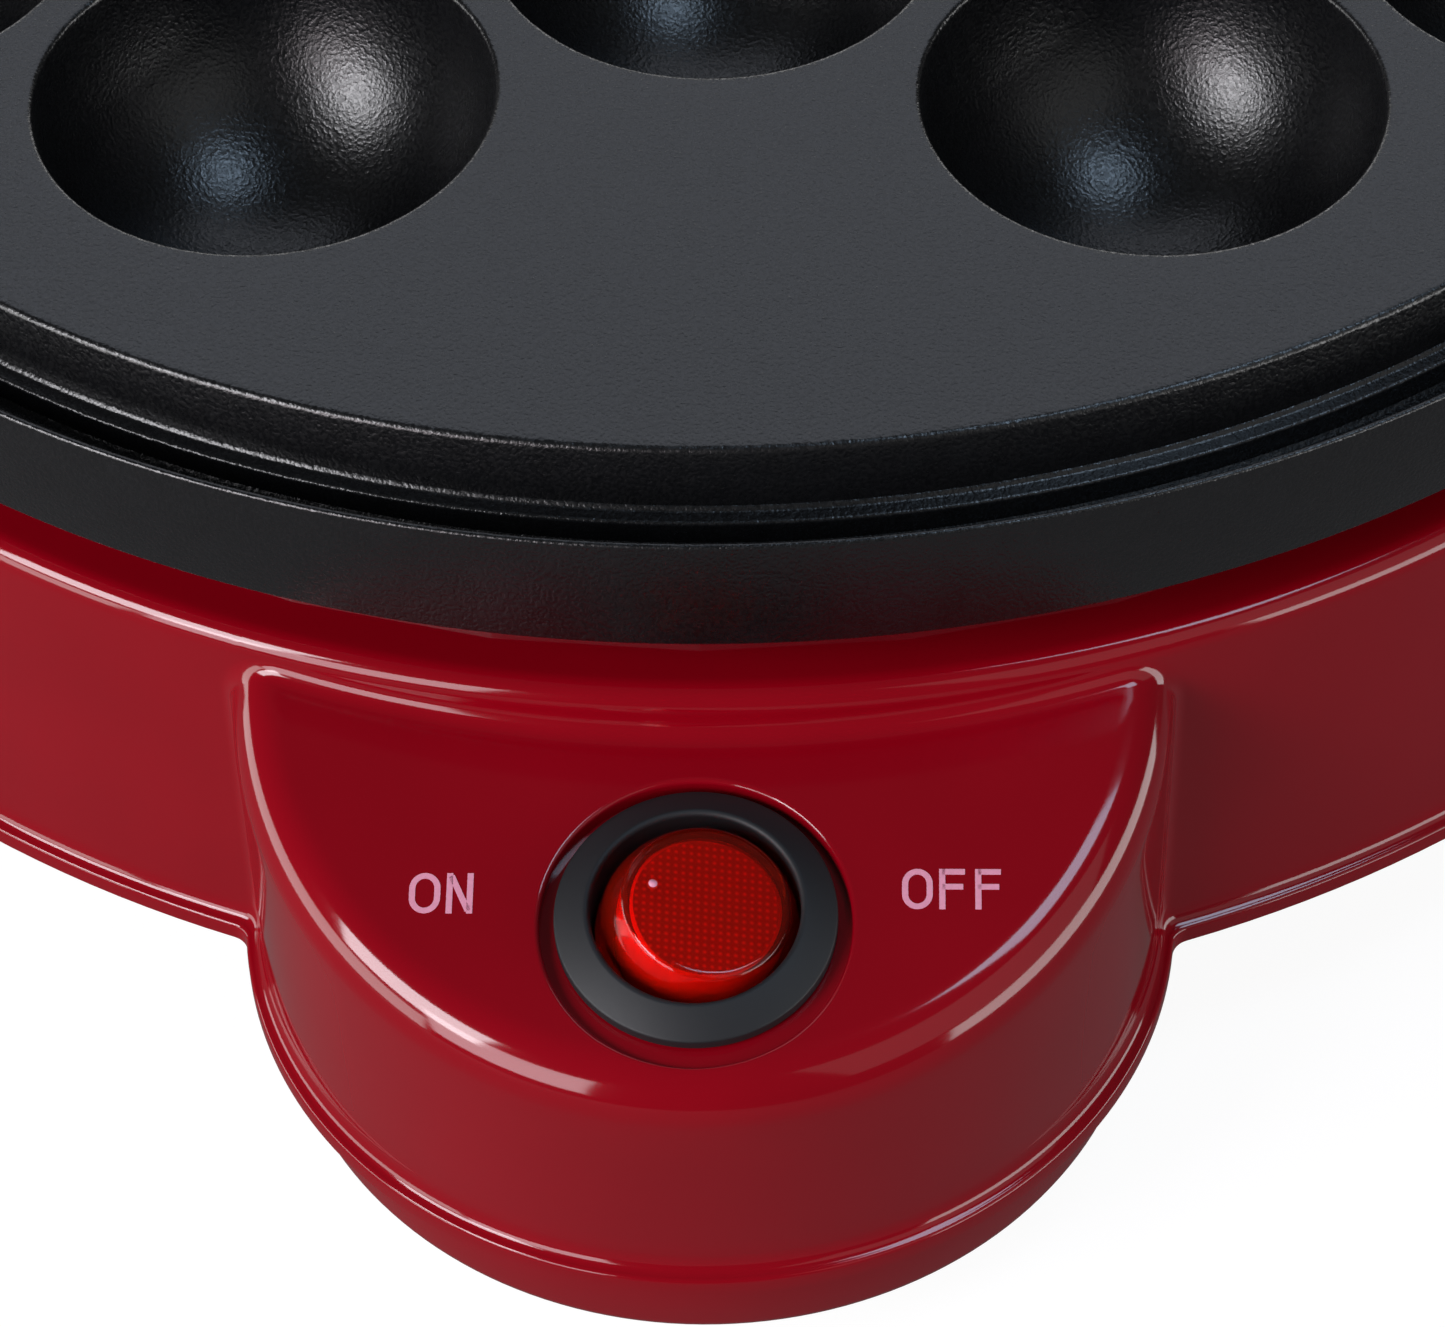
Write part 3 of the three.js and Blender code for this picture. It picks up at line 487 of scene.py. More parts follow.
def cut(piece: bpy.types.Object, cutter: bpy.types.Object) -> None:
    """Cuts a shape out of a piece and shades what is left smooth.

    Args:
        piece: the piece that is cut.
        cutter: the shape that is cut out of it, and removed afterwards.
    """
    activate(piece)
    opening = piece.modifiers.new("opening", "BOOLEAN")
    opening.object, opening.operation, opening.solver = cutter, "DIFFERENCE", "EXACT"
    bpy.ops.object.modifier_apply(modifier=opening.name)
    bpy.data.objects.remove(cutter)
    bpy.ops.object.shade_smooth_by_angle(angle=math.radians(SMOOTH_BEND))


def wear(piece: bpy.types.Object, material: bpy.types.Material) -> None:
    """Gives a piece one material over all its faces."""
    piece.data.materials.clear()
    piece.data.materials.append(material)


def hand_over(
    piece: bpy.types.Object, mover: Body, finish: Slot, names: Sequence[str] = ()
) -> bpy.types.Object:
    """Hands a finished piece to the frame.

    Args:
        piece: the finished piece.
        mover: the CAD body that it moves with.
        finish: the record's material slot that it is listed with; not used.
        names: the CAD nodes that it stands for.

    Returns:
        The same piece.
    """
    body, slot = mover.value, finish.value
    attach(piece, body)
    if names:
        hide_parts(*names)
    return piece


# Finishes


@dataclass(frozen=True)
class CoatedAluminium:
    """Cast aluminium under a sprayed and baked black non-stick coating.

    The spray dries to a fine, uneven peel: at each grain the gloss turns a little, so a light's reflection
    breaks up into pale specks and stays dark between them.
    """

    colour: str = "#060607"
    worn: str = "#0e0f11"
    roughness: float = 0.27
    unevenness: float = 0.07
    peel_mm: float = 0.34
    peel_low: float = 0.3
    peel_high: float = 0.7
    peel_depth_mm: float = 0.075
    peel_strength: float = 0.9
    cloud_mm: float = 2.6
    ior: float = 1.62

    def make(self) -> bpy.types.Material:
        """Builds the material.

        Returns:
            The material.
        """
        material, tree, shader = new_material("baked non-stick coating on cast aluminium")
        cloud, peel = grain(tree, self.cloud_mm, 3), grain(tree, self.peel_mm, 2)
        low, high = self.roughness - self.unevenness, self.roughness + self.unevenness
        tint(tree, shader, cloud, linear(self.colour), linear(self.worn))
        roughen(tree, shader, peel, low, high, (self.peel_low, self.peel_high))
        emboss(tree, shader, peel, self.peel_strength, self.peel_depth_mm)
        shader.inputs["IOR"].default_value = self.ior
        return material


@dataclass(frozen=True)
class GlossAbs:
    """Crimson ABS from a polished mould: deep in colour, with mirror-like but slightly soft reflections."""

    colour: str = "#8c0214"
    deep: str = "#820111"
    roughness: float = 0.085
    unevenness: float = 0.015
    haze_mm: float = 0.5
    sink_mm: float = 14.0
    sink_depth_mm: float = 0.05
    sink_strength: float = 0.05
    ior: float = 1.54

    def make(self) -> bpy.types.Material:
        """Builds the material.

        Returns:
            The material.
        """
        material, tree, shader = new_material("polished crimson ABS")
        drift, haze = grain(tree, self.sink_mm, 1), grain(tree, self.haze_mm, 2)
        tint(tree, shader, drift, linear(self.colour), linear(self.deep))
        roughen(tree, shader, haze, self.roughness - self.unevenness, self.roughness + self.unevenness)
        emboss(tree, shader, drift, self.sink_strength, self.sink_depth_mm)
        shader.inputs["IOR"].default_value = self.ior
        return material


@dataclass(frozen=True)
class SatinMoulding:
    """A plastic, rubber or ceramic from a spark-eroded mould: an even, fine, matt grain.

    The real grain is too fine to show in a picture of the whole maker, so it is drawn coarser, and its
    hollows are painted darker as shade.
    """

    name: str
    colour: str
    roughness: float
    grain_mm: float = 0.25
    strength: float = 0.2
    depth_mm: float = 0.02
    unevenness: float = 0.06
    grain_hollow_painted_shade: float = 0.8

    def make(self) -> bpy.types.Material:
        """Builds the material.

        Returns:
            The material.
        """
        material, tree, shader = new_material(self.name)
        tooth = grain(tree, self.grain_mm, 2)
        # Painted shade: where the grain's relief is low, the colour is dimmed.
        tint(tree, shader, tooth, dimmed(self.colour, self.grain_hollow_painted_shade), linear(self.colour))
        roughen(tree, shader, tooth, self.roughness - self.unevenness, self.roughness + self.unevenness)
        emboss(tree, shader, tooth, self.strength, self.depth_mm)
        return material


@dataclass(frozen=True)
class SheetMetal:
    """Rolled or drawn metal: faint streaks from the rolls vary the roughness along one direction."""

    name: str
    colour: str
    roughness: float
    streak_mm: float = 0.6
    streak_stretch: float = 12.0
    streak_dim: float = 0.82
    smoother: float = 0.08
    rougher: float = 0.1

    def make(self) -> bpy.types.Material:
        """Builds the material.

        Returns:
            The material.
        """
        material, tree, shader = new_material(self.name)
        place = add_node(tree, "ShaderNodeTexCoord").outputs["Object"]
        drawn = add_node(
            tree,
            "ShaderNodeMapping",
            sockets={"Scale": (1.0, self.streak_stretch, self.streak_stretch)},
            links={"Vector": place},
        )
        streaks = add_node(
            tree,
            "ShaderNodeTexNoise",
            sockets={"Scale": 1 / (self.streak_stretch * self.streak_mm * MM), "Detail": 2.0},
            links={"Vector": drawn.outputs["Vector"]},
        ).outputs["Fac"]
        tint(tree, shader, streaks, dimmed(self.colour, self.streak_dim), linear(self.colour))
        roughen(tree, shader, streaks, self.roughness - self.smoother, self.roughness + self.rougher)
        shader.inputs["Metallic"].default_value = 1.0
        return material


@dataclass(frozen=True)
class TintedPolycarbonate:
    """Clear polycarbonate tinted orange red and moulded smooth: light passes, and the faces stay glossy."""

    colour: str = "#ff2308"
    flow: str = "#ff3a14"
    flow_mm: float = 2.5
    roughness: float = 0.06
    ior: float = 1.4
    clearness: float = 0.92

    def make(self) -> bpy.types.Material:
        """Builds the material.

        Returns:
            The material.
        """
        material, tree, shader = new_material("orange-red tinted polycarbonate")
        tint(tree, shader, grain(tree, self.flow_mm, 1), linear(self.colour), linear(self.flow))
        shader.inputs["Roughness"].default_value = self.roughness
        shader.inputs["IOR"].default_value = self.ior
        shader.inputs["Transmission Weight"].default_value = self.clearness
        return material


@dataclass(frozen=True)
class DottedDiffuser:
    """Prism-dotted polycarbonate under the rocker's cap: a close grid of dots breaks the lamp's light."""

    colour: str = "#a81405"
    bright: str = "#f0350f"
    # Painted light: the side's colours are brighter than the face's and stand in for the key light that falls
    # on it.
    side: str = "#ff5a2a"
    pitch_mm: float = 0.62
    dot_edge: float = 0.25
    dot_full: float = 0.9
    roughness: float = 0.35
    haze_mm: float = 1.5
    side_roughness: float = 0.3

    def plain(self) -> bpy.types.Material:
        """Builds the side's material: the polycarbonate without dots, coloured brighter than the face as
        painted light for the key light that the side catches.

        Returns:
            The material.
        """
        material, tree, shader = new_material("polycarbonate diffuser side painted lit")
        tint(tree, shader, grain(tree, self.haze_mm, 2), linear(self.bright), linear(self.side))
        shader.inputs["Roughness"].default_value = self.side_roughness
        return material

    def make(self, centre: Vector) -> bpy.types.Material:
        """Builds the face's material.

        Args:
            centre: the rocker's middle, from which the dots are laid out, in metres.

        Returns:
            The material.
        """
        material, tree, shader = new_material("dotted polycarbonate diffuser")
        place = add_node(tree, "ShaderNodeTexCoord").outputs["Object"]
        radians_per_metre = 2 * math.pi / (self.pitch_mm * MM)
        laid = add_node(
            tree,
            "ShaderNodeMapping",
            {"vector_type": "TEXTURE"},
            {"Location": centre},
            {"Vector": place},
        )
        parts = add_node(tree, "ShaderNodeSeparateXYZ", links={"Vector": laid.outputs["Vector"]})
        waves = []
        for axis in ("X", "Y"):
            turn = maths(tree, "MULTIPLY", {1: radians_per_metre}, {0: parts.outputs[axis]})
            wave = maths(tree, "SINE", links={0: turn})
            # Half a wave plus a half runs from 0 between the dots to 1 on them.
            waves.append(maths(tree, "MULTIPLY_ADD", {1: 0.5, 2: 0.5}, {0: wave}))
        dots = maths(tree, "MULTIPLY", links={0: waves[0], 1: waves[1]})
        sockets = {"From Min": self.dot_edge, "From Max": self.dot_full}
        lit = add_node(tree, "ShaderNodeMapRange", sockets=sockets, links={"Value": dots})
        tint(tree, shader, lit.outputs["Result"], linear(self.colour), linear(self.bright))
        shader.inputs["Roughness"].default_value = self.roughness
        return material


SLATE_NYLON = SatinMoulding("slate moulded nylon", "#14161a", roughness=0.56, grain_mm=0.3, strength=0.15)
PINK_INK = SatinMoulding("pale pink pad-printed ink", "#ee9fb8", roughness=0.5, grain_mm=0.4, strength=0.05)
BLACK_RUBBER = SatinMoulding("black moulded rubber", "#161616", roughness=0.75, grain_mm=0.4, strength=0.4)
CERAMIC = SatinMoulding("unglazed pressed ceramic", "#ddd6c6", roughness=0.7, grain_mm=0.3, strength=0.4)
PALE_NYLON = SatinMoulding("natural moulded nylon", "#d9d4c6", roughness=0.5, grain_mm=0.4, strength=0.15)
LAMP_GLASS = SatinMoulding("neon lamp glass", "#e58a5c", roughness=0.1, grain_mm=0.5, strength=0.0)
ZINC_STEEL = SheetMetal("zinc plated steel", "#b9bbbd", roughness=0.32)
ALUMINISED_STEEL = SheetMetal("aluminised steel sheet", "#a8abad", roughness=0.42, streak_mm=1.5)
ELEMENT_SHEATH = SheetMetal("heat-darkened element sheath", "#5e6158", roughness=0.5)
ROLLED_BRASS = SheetMetal("rolled brass strip", "#c8a14c", roughness=0.28)


@dataclass
class Finishes:
    """The materials that the pieces share, each made once."""

    coating: bpy.types.Material = field(default_factory=CoatedAluminium().make)
    crimson: bpy.types.Material = field(default_factory=GlossAbs().make)
    slate: bpy.types.Material = field(default_factory=SLATE_NYLON.make)
    ink: bpy.types.Material = field(default_factory=PINK_INK.make)
    lens: bpy.types.Material = field(default_factory=TintedPolycarbonate().make)
    rubber: bpy.types.Material = field(default_factory=BLACK_RUBBER.make)
    ceramic: bpy.types.Material = field(default_factory=CERAMIC.make)
    nylon: bpy.types.Material = field(default_factory=PALE_NYLON.make)
    glass: bpy.types.Material = field(default_factory=LAMP_GLASS.make)
    zinc: bpy.types.Material = field(default_factory=ZINC_STEEL.make)
    aluminised: bpy.types.Material = field(default_factory=ALUMINISED_STEEL.make)
    sheath: bpy.types.Material = field(default_factory=ELEMENT_SHEATH.make)
    brass: bpy.types.Material = field(default_factory=ROLLED_BRASS.make)


# Sub-assemblies


@dataclass
class Deck:
    """The middle of the plate's top, in metres, from which all other places are counted."""

    origin: Vector

    def at(self, x: float, y: float, z: float) -> Vector:
        """Gives the place in metres of a point counted from the middle of the plate's top."""
        return self.origin + Vector((x, y, z)) * MM

    def lay(self, points: Iterable[Vector]) -> list[Vector]:
        """Gives the places in metres of several points counted from the middle of the plate's top."""
        return [self.at(*point) for point in points]


@dataclass
class CookingPlate:
    """The cast plate: hollows on a hexagonal lattice, a sloped step, a groove and a standing rim."""

    deck: Deck
    hollow_radius: float = 20.0
    pitch: float = 44.2
    rings: int = 2
    mouth_round: float = 0.55
    land: float = 0.5
    plateau: float = 109.3
    plateau_round: float = 0.6
    step_foot: float = 110.3
    step_drop: float = 5.9
    ledge_edge: float = 111.8
    groove_foot: float = 115.0
    groove_outer: float = 117.0
    groove_floor: float = 8.5
    rim_top: float = 117.3
    rim_top_drop: float = 2.7
    rim_radius: float = 117.6
    rim_depth: float = 14.2
    wall: float = 2.6
    under: float = 4.0
    dome_radius: float = 20.9
    boss_circle: float = 107.0
    boss_radius: float = 5.0
    boss_neck: float = 2.8
    boss_depth: float = 12.0
    boss_root: float = 0.2
    edge_round: float = 0.35
    rim_round: float = 0.3
    turn_steps: int = 288
    hollow_steps: int = 72
    bowl_rows: int = 20
    dome_steps: int = 36
    dome_rows: int = 8
    boss_steps: int = 32
    smooth_bend: float = 38.0

    def places(self) -> Profile:
        """Lists the hollows' centres, with the front one of the middle column left plain.

        Returns:
            X and Y of each centre.
        """
        found = []
        for column in range(-self.rings, self.rings + 1):
            count = 2 * self.rings + 1 - abs(column)
            for i in range(count):
                if column or i:
                    x = column * self.pitch * math.sqrt(3) / 2
                    found.append((x, (i - (count - 1) / 2) * self.pitch))
        return found

    def bowl(self) -> bpy.types.Object:
        """Spins one hollow with a rounded mouth and a narrow flat land around it.

        Returns:
            The hollow, in the middle of the plate.
        """
        lip = self.mouth_round
        mouth = self.hollow_radius + lip
        profile = [(mouth + self.land, 0.0), *arc((mouth, -lip), lip, 90, 180, 5)]
        start = math.degrees(math.asin(lip / self.hollow_radius))
        profile += arc((0, 0), self.hollow_radius, -start, -90, self.bowl_rows)[1:]
        return spun("hollow", profile, self.hollow_steps, self.deck.origin)

    def dome(self) -> bpy.types.Object:
        """Spins the outside of one hollow, seen from below."""
        start = math.degrees(math.asin(self.under / self.dome_radius))
        profile = arc((0, 0), self.dome_radius, -start, -90, self.dome_rows)
        return spun("dome", profile, self.dome_steps, self.deck.origin)

    def flange(self) -> bpy.types.Object:
        """Spins everything outside the plateau, from its flat edge round the rim to the underside.

        Returns:
            The ring, open where the plateau and the underside are filled in later.
        """
        soft, edge = self.edge_round, self.rim_round
        inner = self.rim_radius - self.wall
        ceiling = -self.groove_floor - self.wall
        crest = (self.groove_outer + self.rim_top) / 2
        profile = [
            (self.plateau - self.plateau_round - self.land, 0.0),
            *arc((self.plateau - self.plateau_round, -self.plateau_round), self.plateau_round, 90, 10, 6),
            (self.step_foot - soft / 2, -self.step_drop + soft),
            *arc((self.step_foot + soft, -self.step_drop + soft), soft, 200, 270, 3),
            *arc((self.ledge_edge - soft, -self.step_drop - soft), soft, 90, 0, 5),
            (self.ledge_edge, -self.groove_floor + soft),
            (self.ledge_edge + soft, -self.groove_floor),
            (self.groove_foot - soft, -self.groove_floor),
            (self.groove_foot, -self.groove_floor + soft),
            *arc((crest, -self.rim_top_drop - edge), edge, 160, 0, 8),
            *arc((self.rim_radius - soft, -self.rim_depth + soft), soft, 0, -90, 4),
            (inner, -self.rim_depth),
            (inner, ceiling),
            (self.ledge_edge - self.wall, ceiling),
            (self.ledge_edge - self.wall, -self.under),
        ]
        return spun("flange", profile, self.turn_steps, self.deck.origin)

    def bosses(self) -> list[bpy.types.Object]:
        """Spins the four posts under the plate that its screws go into.

        Returns:
            The posts.
        """
        root, collar = self.boss_root - self.under, -self.groove_floor
        post = [
            (0, root),
            (self.boss_neck, root),
            (self.boss_neck, collar),
            (self.boss_radius, collar),
            (self.boss_radius, -self.boss_depth),
            (0, -self.boss_depth),
        ]
        posts = []
        for angle in DIAGONALS:
            foot = self.deck.at(self.boss_circle * math.cos(angle), self.boss_circle * math.sin(angle), 0)
            posts.append(tidy(spun("boss", post, self.boss_steps, foot)))
        return posts

    def build(self, finishes: Finishes) -> list[bpy.types.Object]:
        """Builds and dresses the plate.

        Args:
            finishes: the shared materials.

        Returns:
            The plate, alone in a list.
        """
        bowl, dome = self.bowl(), self.dome()
        cast = [self.flange()]
        for x, y in self.places():
            shift = Vector((x, y, 0)) * MM
            cast += [copied(bowl, shift), copied(dome, shift)]
        for piece in (bowl, dome):
            bpy.data.objects.remove(piece)
        plate = joined("cast_plate", cast)
        capped(plate, self.deck.origin.z, self.deck.at(0, 0, -self.under).z)
        tidy(plate, self.smooth_bend)
        joined("cast_plate", [plate, *self.bosses()])
        wear(plate, finishes.coating)
        return [hand_over(plate, Body.BASE, Slot.COATING, ["cooking_plate"])]


@dataclass
class Plan:
    """The outline of the round body with the round console in front of it, seen from above."""

    console_centre: float = 110.4
    back_columns: int = 230
    blend_columns: int = 8
    front_columns: int = 96

    def crossing(self, body: float, console: float) -> Flat:
        """Finds where the body's circle meets the console's, on the right.

        Args:
            body: the body's radius.
            console: the console's radius.

        Returns:
            The crossing's X and Y.
        """
        y = -(body**2 - console**2 + self.console_centre**2) / (2 * self.console_centre)
        return math.sqrt(body**2 - y**2), y

    def outline(
        self, body: float, console: float, blend: float, level: float, front_level: Callable[[float], float]
    ) -> list[Vector]:
        """Walks the outline once, from the right seam round the back to the left seam and round the console.

        Args:
            body: the body's radius.
            console: the console's radius.
            blend: the radius of the rounded inside corners.
            level: the height of the outline on the body.
            front_level: the height on the console at a place in Y.

        Returns:
            The points, those on the body's own wall first.
        """
        ball_x, ball_y = self.crossing(body + blend, console + blend)
        start = math.atan2(ball_y, ball_x)
        end = math.pi - start
        wall = [start + (end - start) * i / self.back_columns for i in range(self.back_columns + 1)]
        points = [Vector((body * math.cos(a), body * math.sin(a), level)) for a in wall]
        on_console = math.atan2(ball_y + self.console_centre, ball_x)
        first, last = math.pi - on_console, 2 * math.pi + on_console
        nose = []
        for i in range(self.front_columns + 1):
            a = first + (last - first) * i / self.front_columns
            y = -self.console_centre + console * math.sin(a)
            nose.append(Vector((console * math.cos(a), y, front_level(y))))
        left, right = Vector((-ball_x, ball_y, level)), Vector((ball_x, ball_y, level))
        points += arc_between(points[-1], left, nose[0], self.blend_columns)[1:-1]
        points += nose
        points += arc_between(nose[-1], right, points[0], self.blend_columns)[1:-1]
        return points


def arc_between(start: Vector, centre: Vector, end: Vector, steps: int) -> list[Vector]:
    """Turns from one point to another round a centre, as a ball's skin does between two contacts.

    Args:
        start: the point where the arc begins.
        centre: the arc's centre.
        end: the point where it ends.
        steps: how many chords it has.

    Returns:
        The points, both ends included.
    """
    before, after = start - centre, end - centre
    found = []
    for i in range(steps + 1):
        share = i / steps
        reach = before.length + (after.length - before.length) * share
        found.append(centre + before.normalized().slerp(after.normalized(), share).normalized() * reach)
    return found


@dataclass
class UpperCasing:
    """The crimson casing: round wall, console with a sloping panel, rounded ledge and the switch's seat."""

    deck: Deck
    plan: Plan = field(default_factory=Plan)
    top_radius: float = 117.6
    foot_radius: float = 119.7
    lip_radius: float = 121.15
    console: float = 39.5
    console_round: float = 4.0
    lip: float = 1.45
    ledge: float = -20.5
    shoulder_round: float = 2.2
    foot: float = -54.0
    lip_level: float = -55.4
    mouth_level: float = -57.2
    mouth: float = 103.8
    wall: float = 2.1
    blend: float = 2.0
    panel_drop: float = 4.1
    panel_slope: float = 13.5
    switch_reach: float = 24.5
    seat_radius: float = 12.6
    seat_play: float = 0.1
    seat_shift: float = 0.4
    seat_sink: float = 0.5
    seat_round: float = 0.4
    seat_slope: float = 10.5
    hole_radius: float = 10.2
    switch_shift: float = 1.0
    gland_drop: float = 44.0
    gland_radius: float = 5.9
    land: float = 0.5
    lip_round: float = 0.4
    lip_rise: float = 0.5
    gland_margin: float = 1.0
    gland_reach: float = 4.0
    panel_rear: float = -100.0
    edge_search: Flat = (0.6, -1.0)
    panel_search: Flat = (-95.0, -130.0)
    seat_floor: float = 1.6
    seat_rim_share: float = 0.6
    drill_depth: float = 16.0
    wall_rows: int = 10
    crown_rows: tuple[int, int] = (4, 10)
    corner_steps: int = 12
    brow_steps: int = 64
    seat_steps: int = 96
    smooth_bend: float = 50.0

    def panel(self, y: float) -> float:
        """Gives the panel's height at a distance in front of the plate's middle."""
        rise = (y + self.top_radius) * math.tan(math.radians(self.panel_slope))
        return self.ledge - self.panel_drop + rise

    def wall_radius(self, z: float) -> float:
        """Gives the drafted wall's radius at a height."""
        share = min(max((self.ledge - z) / (self.ledge - self.foot), 0), 1)
        return self.top_radius + (self.foot_radius - self.top_radius) * share

    def lower_levels(self) -> list[Point]:
        """Lists the lip's rings from the mouth up.

        Returns:
            Each ring's height, body radius and console radius.
        """
        body, console, soft = self.lip_radius, self.console + self.lip, self.lip_round
        rings = [(self.mouth_level, body, console)]
        for i in range(4):
            a = math.radians(30 * i)
            inset = soft * (1 - math.cos(a))
            rings.append((self.lip_level - soft * (1 - math.sin(a)), body - inset, console - inset))
        sweep = self.lip - soft
        for i in range(1, 6):
            a = math.radians(18 * i)
            inset = soft + sweep * math.sin(a)
            rise = (self.foot - self.lip_level + self.lip_rise) * (1 - math.cos(a))
            rings.append((self.lip_level + rise, body - inset, console - inset))
        return rings

    def contacts(self, level: float) -> tuple[float, float, float, float]:
        """Finds where the corner's ball touches the body and the console's side at a height, on the right.

        Args:
            level: the height.

        Returns:
            X and Y of the contact on the body, then of the one on the console.
        """
        body, rounding, centre = self.wall_radius(level), self.blend, self.plan.console_centre
        x, y = self.plan.crossing(body + rounding, self.console + rounding)
        share = body / (body + rounding)
        ahead = self.console / (self.console + rounding)
        return x * share, y * share, x * ahead, (y + centre) * ahead - centre

    def seam_level(self) -> float:
        """Finds where the seam ends above, as the console's side starts to round over.

        Returns:
            The height there.
        """
        z = self.panel(-self.plan.console_centre) - self.console_round
        for _ in range(6):
            z = self.panel(self.contacts(z)[3]) - self.console_round
        return z

    def walls(self) -> tuple[bpy.types.Object, list[Vector]]:
        """Builds the wall from the mouth up to where the console's side rounds over, with the cord's entry.

        Returns:
            The wall and its last ring.
        """
        seam_top = self.seam_level()
        rings = []
        for z, body, console in self.lower_levels():
            rings.append(self.plan.outline(body, console, self.blend, z, lambda y, z=z: z))
        start = self.lower_levels()[-1][0]
        for i in range(1, self.wall_rows + 1):
            share = i / self.wall_rows
            level = start + (seam_top - start) * share

            def nose_level(y: float, share: float = share) -> float:
                """Gives the row's height on the console at a place in Y."""
                return start + (self.panel(y) - self.console_round - start) * share

            body = self.wall_radius(level)
            rings.append(self.plan.outline(body, self.console, self.blend, level, nose_level))
        rows = [self.deck.lay(ring) for ring in rings]
        wall = sheet("casing_wall", rows, closed=True)
        self.pierce(wall)
        return wall, rows[-1]

    def pierce(self, wall: bpy.types.Object) -> None:
        """Opens the cord's round entry in the back of the wall.

        Args:
            wall: the wall before it is joined to the rest.
        """
        activate(wall)
        bpy.ops.object.mode_set(mode="EDIT")
        bpy.ops.mesh.select_mode(type="FACE")
        bpy.ops.mesh.select_all(action="DESELECT")
        mesh = bmesh.from_edit_mesh(wall.data)
        middle = self.deck.at(0, 0, -self.gland_drop)

        def reach(place: Vector) -> float:
            """Measures how far a place is from the entry's axis."""
            return math.hypot(place.x - middle.x, place.z - middle.z) / MM

        inner, outer = self.gland_radius - self.gland_margin, self.gland_radius + self.gland_reach
        for face in mesh.faces:
            centre = face.calc_center_median()
            face.select_set(centre.y > middle.y and reach(centre) < inner)
        bmesh.update_edit_mesh(wall.data)
        bpy.ops.mesh.delete(type="FACE")
        mesh = bmesh.from_edit_mesh(wall.data)
        for vertex in mesh.verts:
            if vertex.co.y > middle.y and vertex.is_boundary and reach(vertex.co) < outer:
                away = Vector((vertex.co.x - middle.x, 0, vertex.co.z - middle.z)).normalized()
                vertex.co = Vector((middle.x, vertex.co.y, middle.z)) + away * self.gland_radius * MM
        bmesh.update_edit_mesh(wall.data)
        bpy.ops.object.mode_set(mode="OBJECT")

    def climb(self, reach: float) -> tuple[float, float]:
        """Walks up the wall and over its rounded shoulder.

        Args:
            reach: the way along the profile from where the shoulder starts, negative on the wall below it.

        Returns:
            The radius and the height there.
        """
        shoulder = self.ledge - self.shoulder_round
        if reach <= 0:
            return self.wall_radius(shoulder + reach), shoulder + reach
        turn = reach / self.shoulder_round
        inner = self.wall_radius(shoulder) - self.shoulder_round
        return inner + self.shoulder_round * math.cos(turn), shoulder + self.shoulder_round * math.sin(turn)

    def ball_radius(self, level: float) -> float:
        """Gives how far out the fillet's ball has its centre when it touches the wall or the shoulder.

        Args:
            level: the height of the ball's centre.

        Returns:
            The centre's distance from the plate's axis.
        """
        rise = level - self.ledge + self.shoulder_round
        if rise <= 0:
            return self.wall_radius(level) + self.blend
        inner = self.wall_radius(level - rise) - self.shoulder_round
        return inner + math.sqrt((self.shoulder_round + self.blend) ** 2 - rise**2)

    def touch(self, centre: Vector) -> Vector:
        """Gives the place where the fillet's ball touches the wall or the shoulder.

        Args:
            centre: the ball's centre.

        Returns:
            The contact.
        """
        rise = centre.z - self.ledge + self.shoulder_round
        if rise > 0:
            rise = self.shoulder_round * math.asin(rise / (self.shoulder_round + self.blend))
        radius, z = self.climb(rise)
        flat = Vector((centre.x, centre.y, 0)).normalized() * radius
        return Vector((flat.x, flat.y, z))

    def on_console(self, rise: float, turn: float) -> Vector:
        """Gives a place on the console's rounded edge.

        Args:
            rise: how far round the edge it lies, in radians, from 0 on the side to a quarter turn on top.
            turn: its direction from the console's middle, in radians.

        Returns:
            The place, counted from the plate's top.
        """
        radius = self.console - self.console_round * (1 - math.cos(rise))
        x, y = radius * math.cos(turn), -self.plan.console_centre + radius * math.sin(turn)
        return Vector((x, y, self.panel(y) - self.console_round * (1 - math.sin(rise))))

    def away_from_console(self, rise: float, turn: float) -> Vector:
        """Gives the direction that points out of the console's rounded edge.

        Args:
            rise: how far round the edge the place lies, in radians.
            turn: the place's direction from the console's middle, in radians.

        Returns:
            The direction.
        """
        step = 0.001
        along = self.on_console(rise, turn + step) - self.on_console(rise, turn - step)
        over = self.on_console(rise + step, turn) - self.on_console(rise - step, turn)
        return along.cross(over).normalized()

    def panel_out(self) -> Vector:
        """Gives the direction that points out of the panel."""
        slope = math.radians(self.panel_slope)
        return Vector((0, -math.sin(slope), math.cos(slope)))

    def rolled(self, place: Callable[[float], Pair], near: float, far: float) -> Pair:
        """Rolls the fillet's ball over the console until it touches the body too.

        Args:
            place: gives for a number the ball's contact with the console and its centre.
            near: a number at which the ball is still inside the body.
            far: a number at which it is clear of the body.

        Returns:
            The ball's centre and its contact with the console.
        """
        for _ in range(40):
            middle = (near + far) / 2
            contact, centre = place(middle)
            if math.hypot(centre.x, centre.y) < self.ball_radius(centre.z):
                near = middle
            else:
                far = middle
        return centre, contact

    def seam_curve(self) -> list[Triple]:
        """Follows the fillet between the console and the round wall from the right seam to the left one.

        Returns:
            For each step the contact on the wall, the ball's centre and the contact on the console.
        """
        found = []
        for i in range(self.corner_steps + 1):
            rise = math.pi / 2 * i / self.corner_steps

            def over_edge(turn: float, rise: float = rise) -> Pair:
                """Gives the ball's contact with the console's rounded edge in a direction, and its centre."""
                contact = self.on_console(rise, turn)
                return contact, contact + self.away_from_console(rise, turn) * self.blend

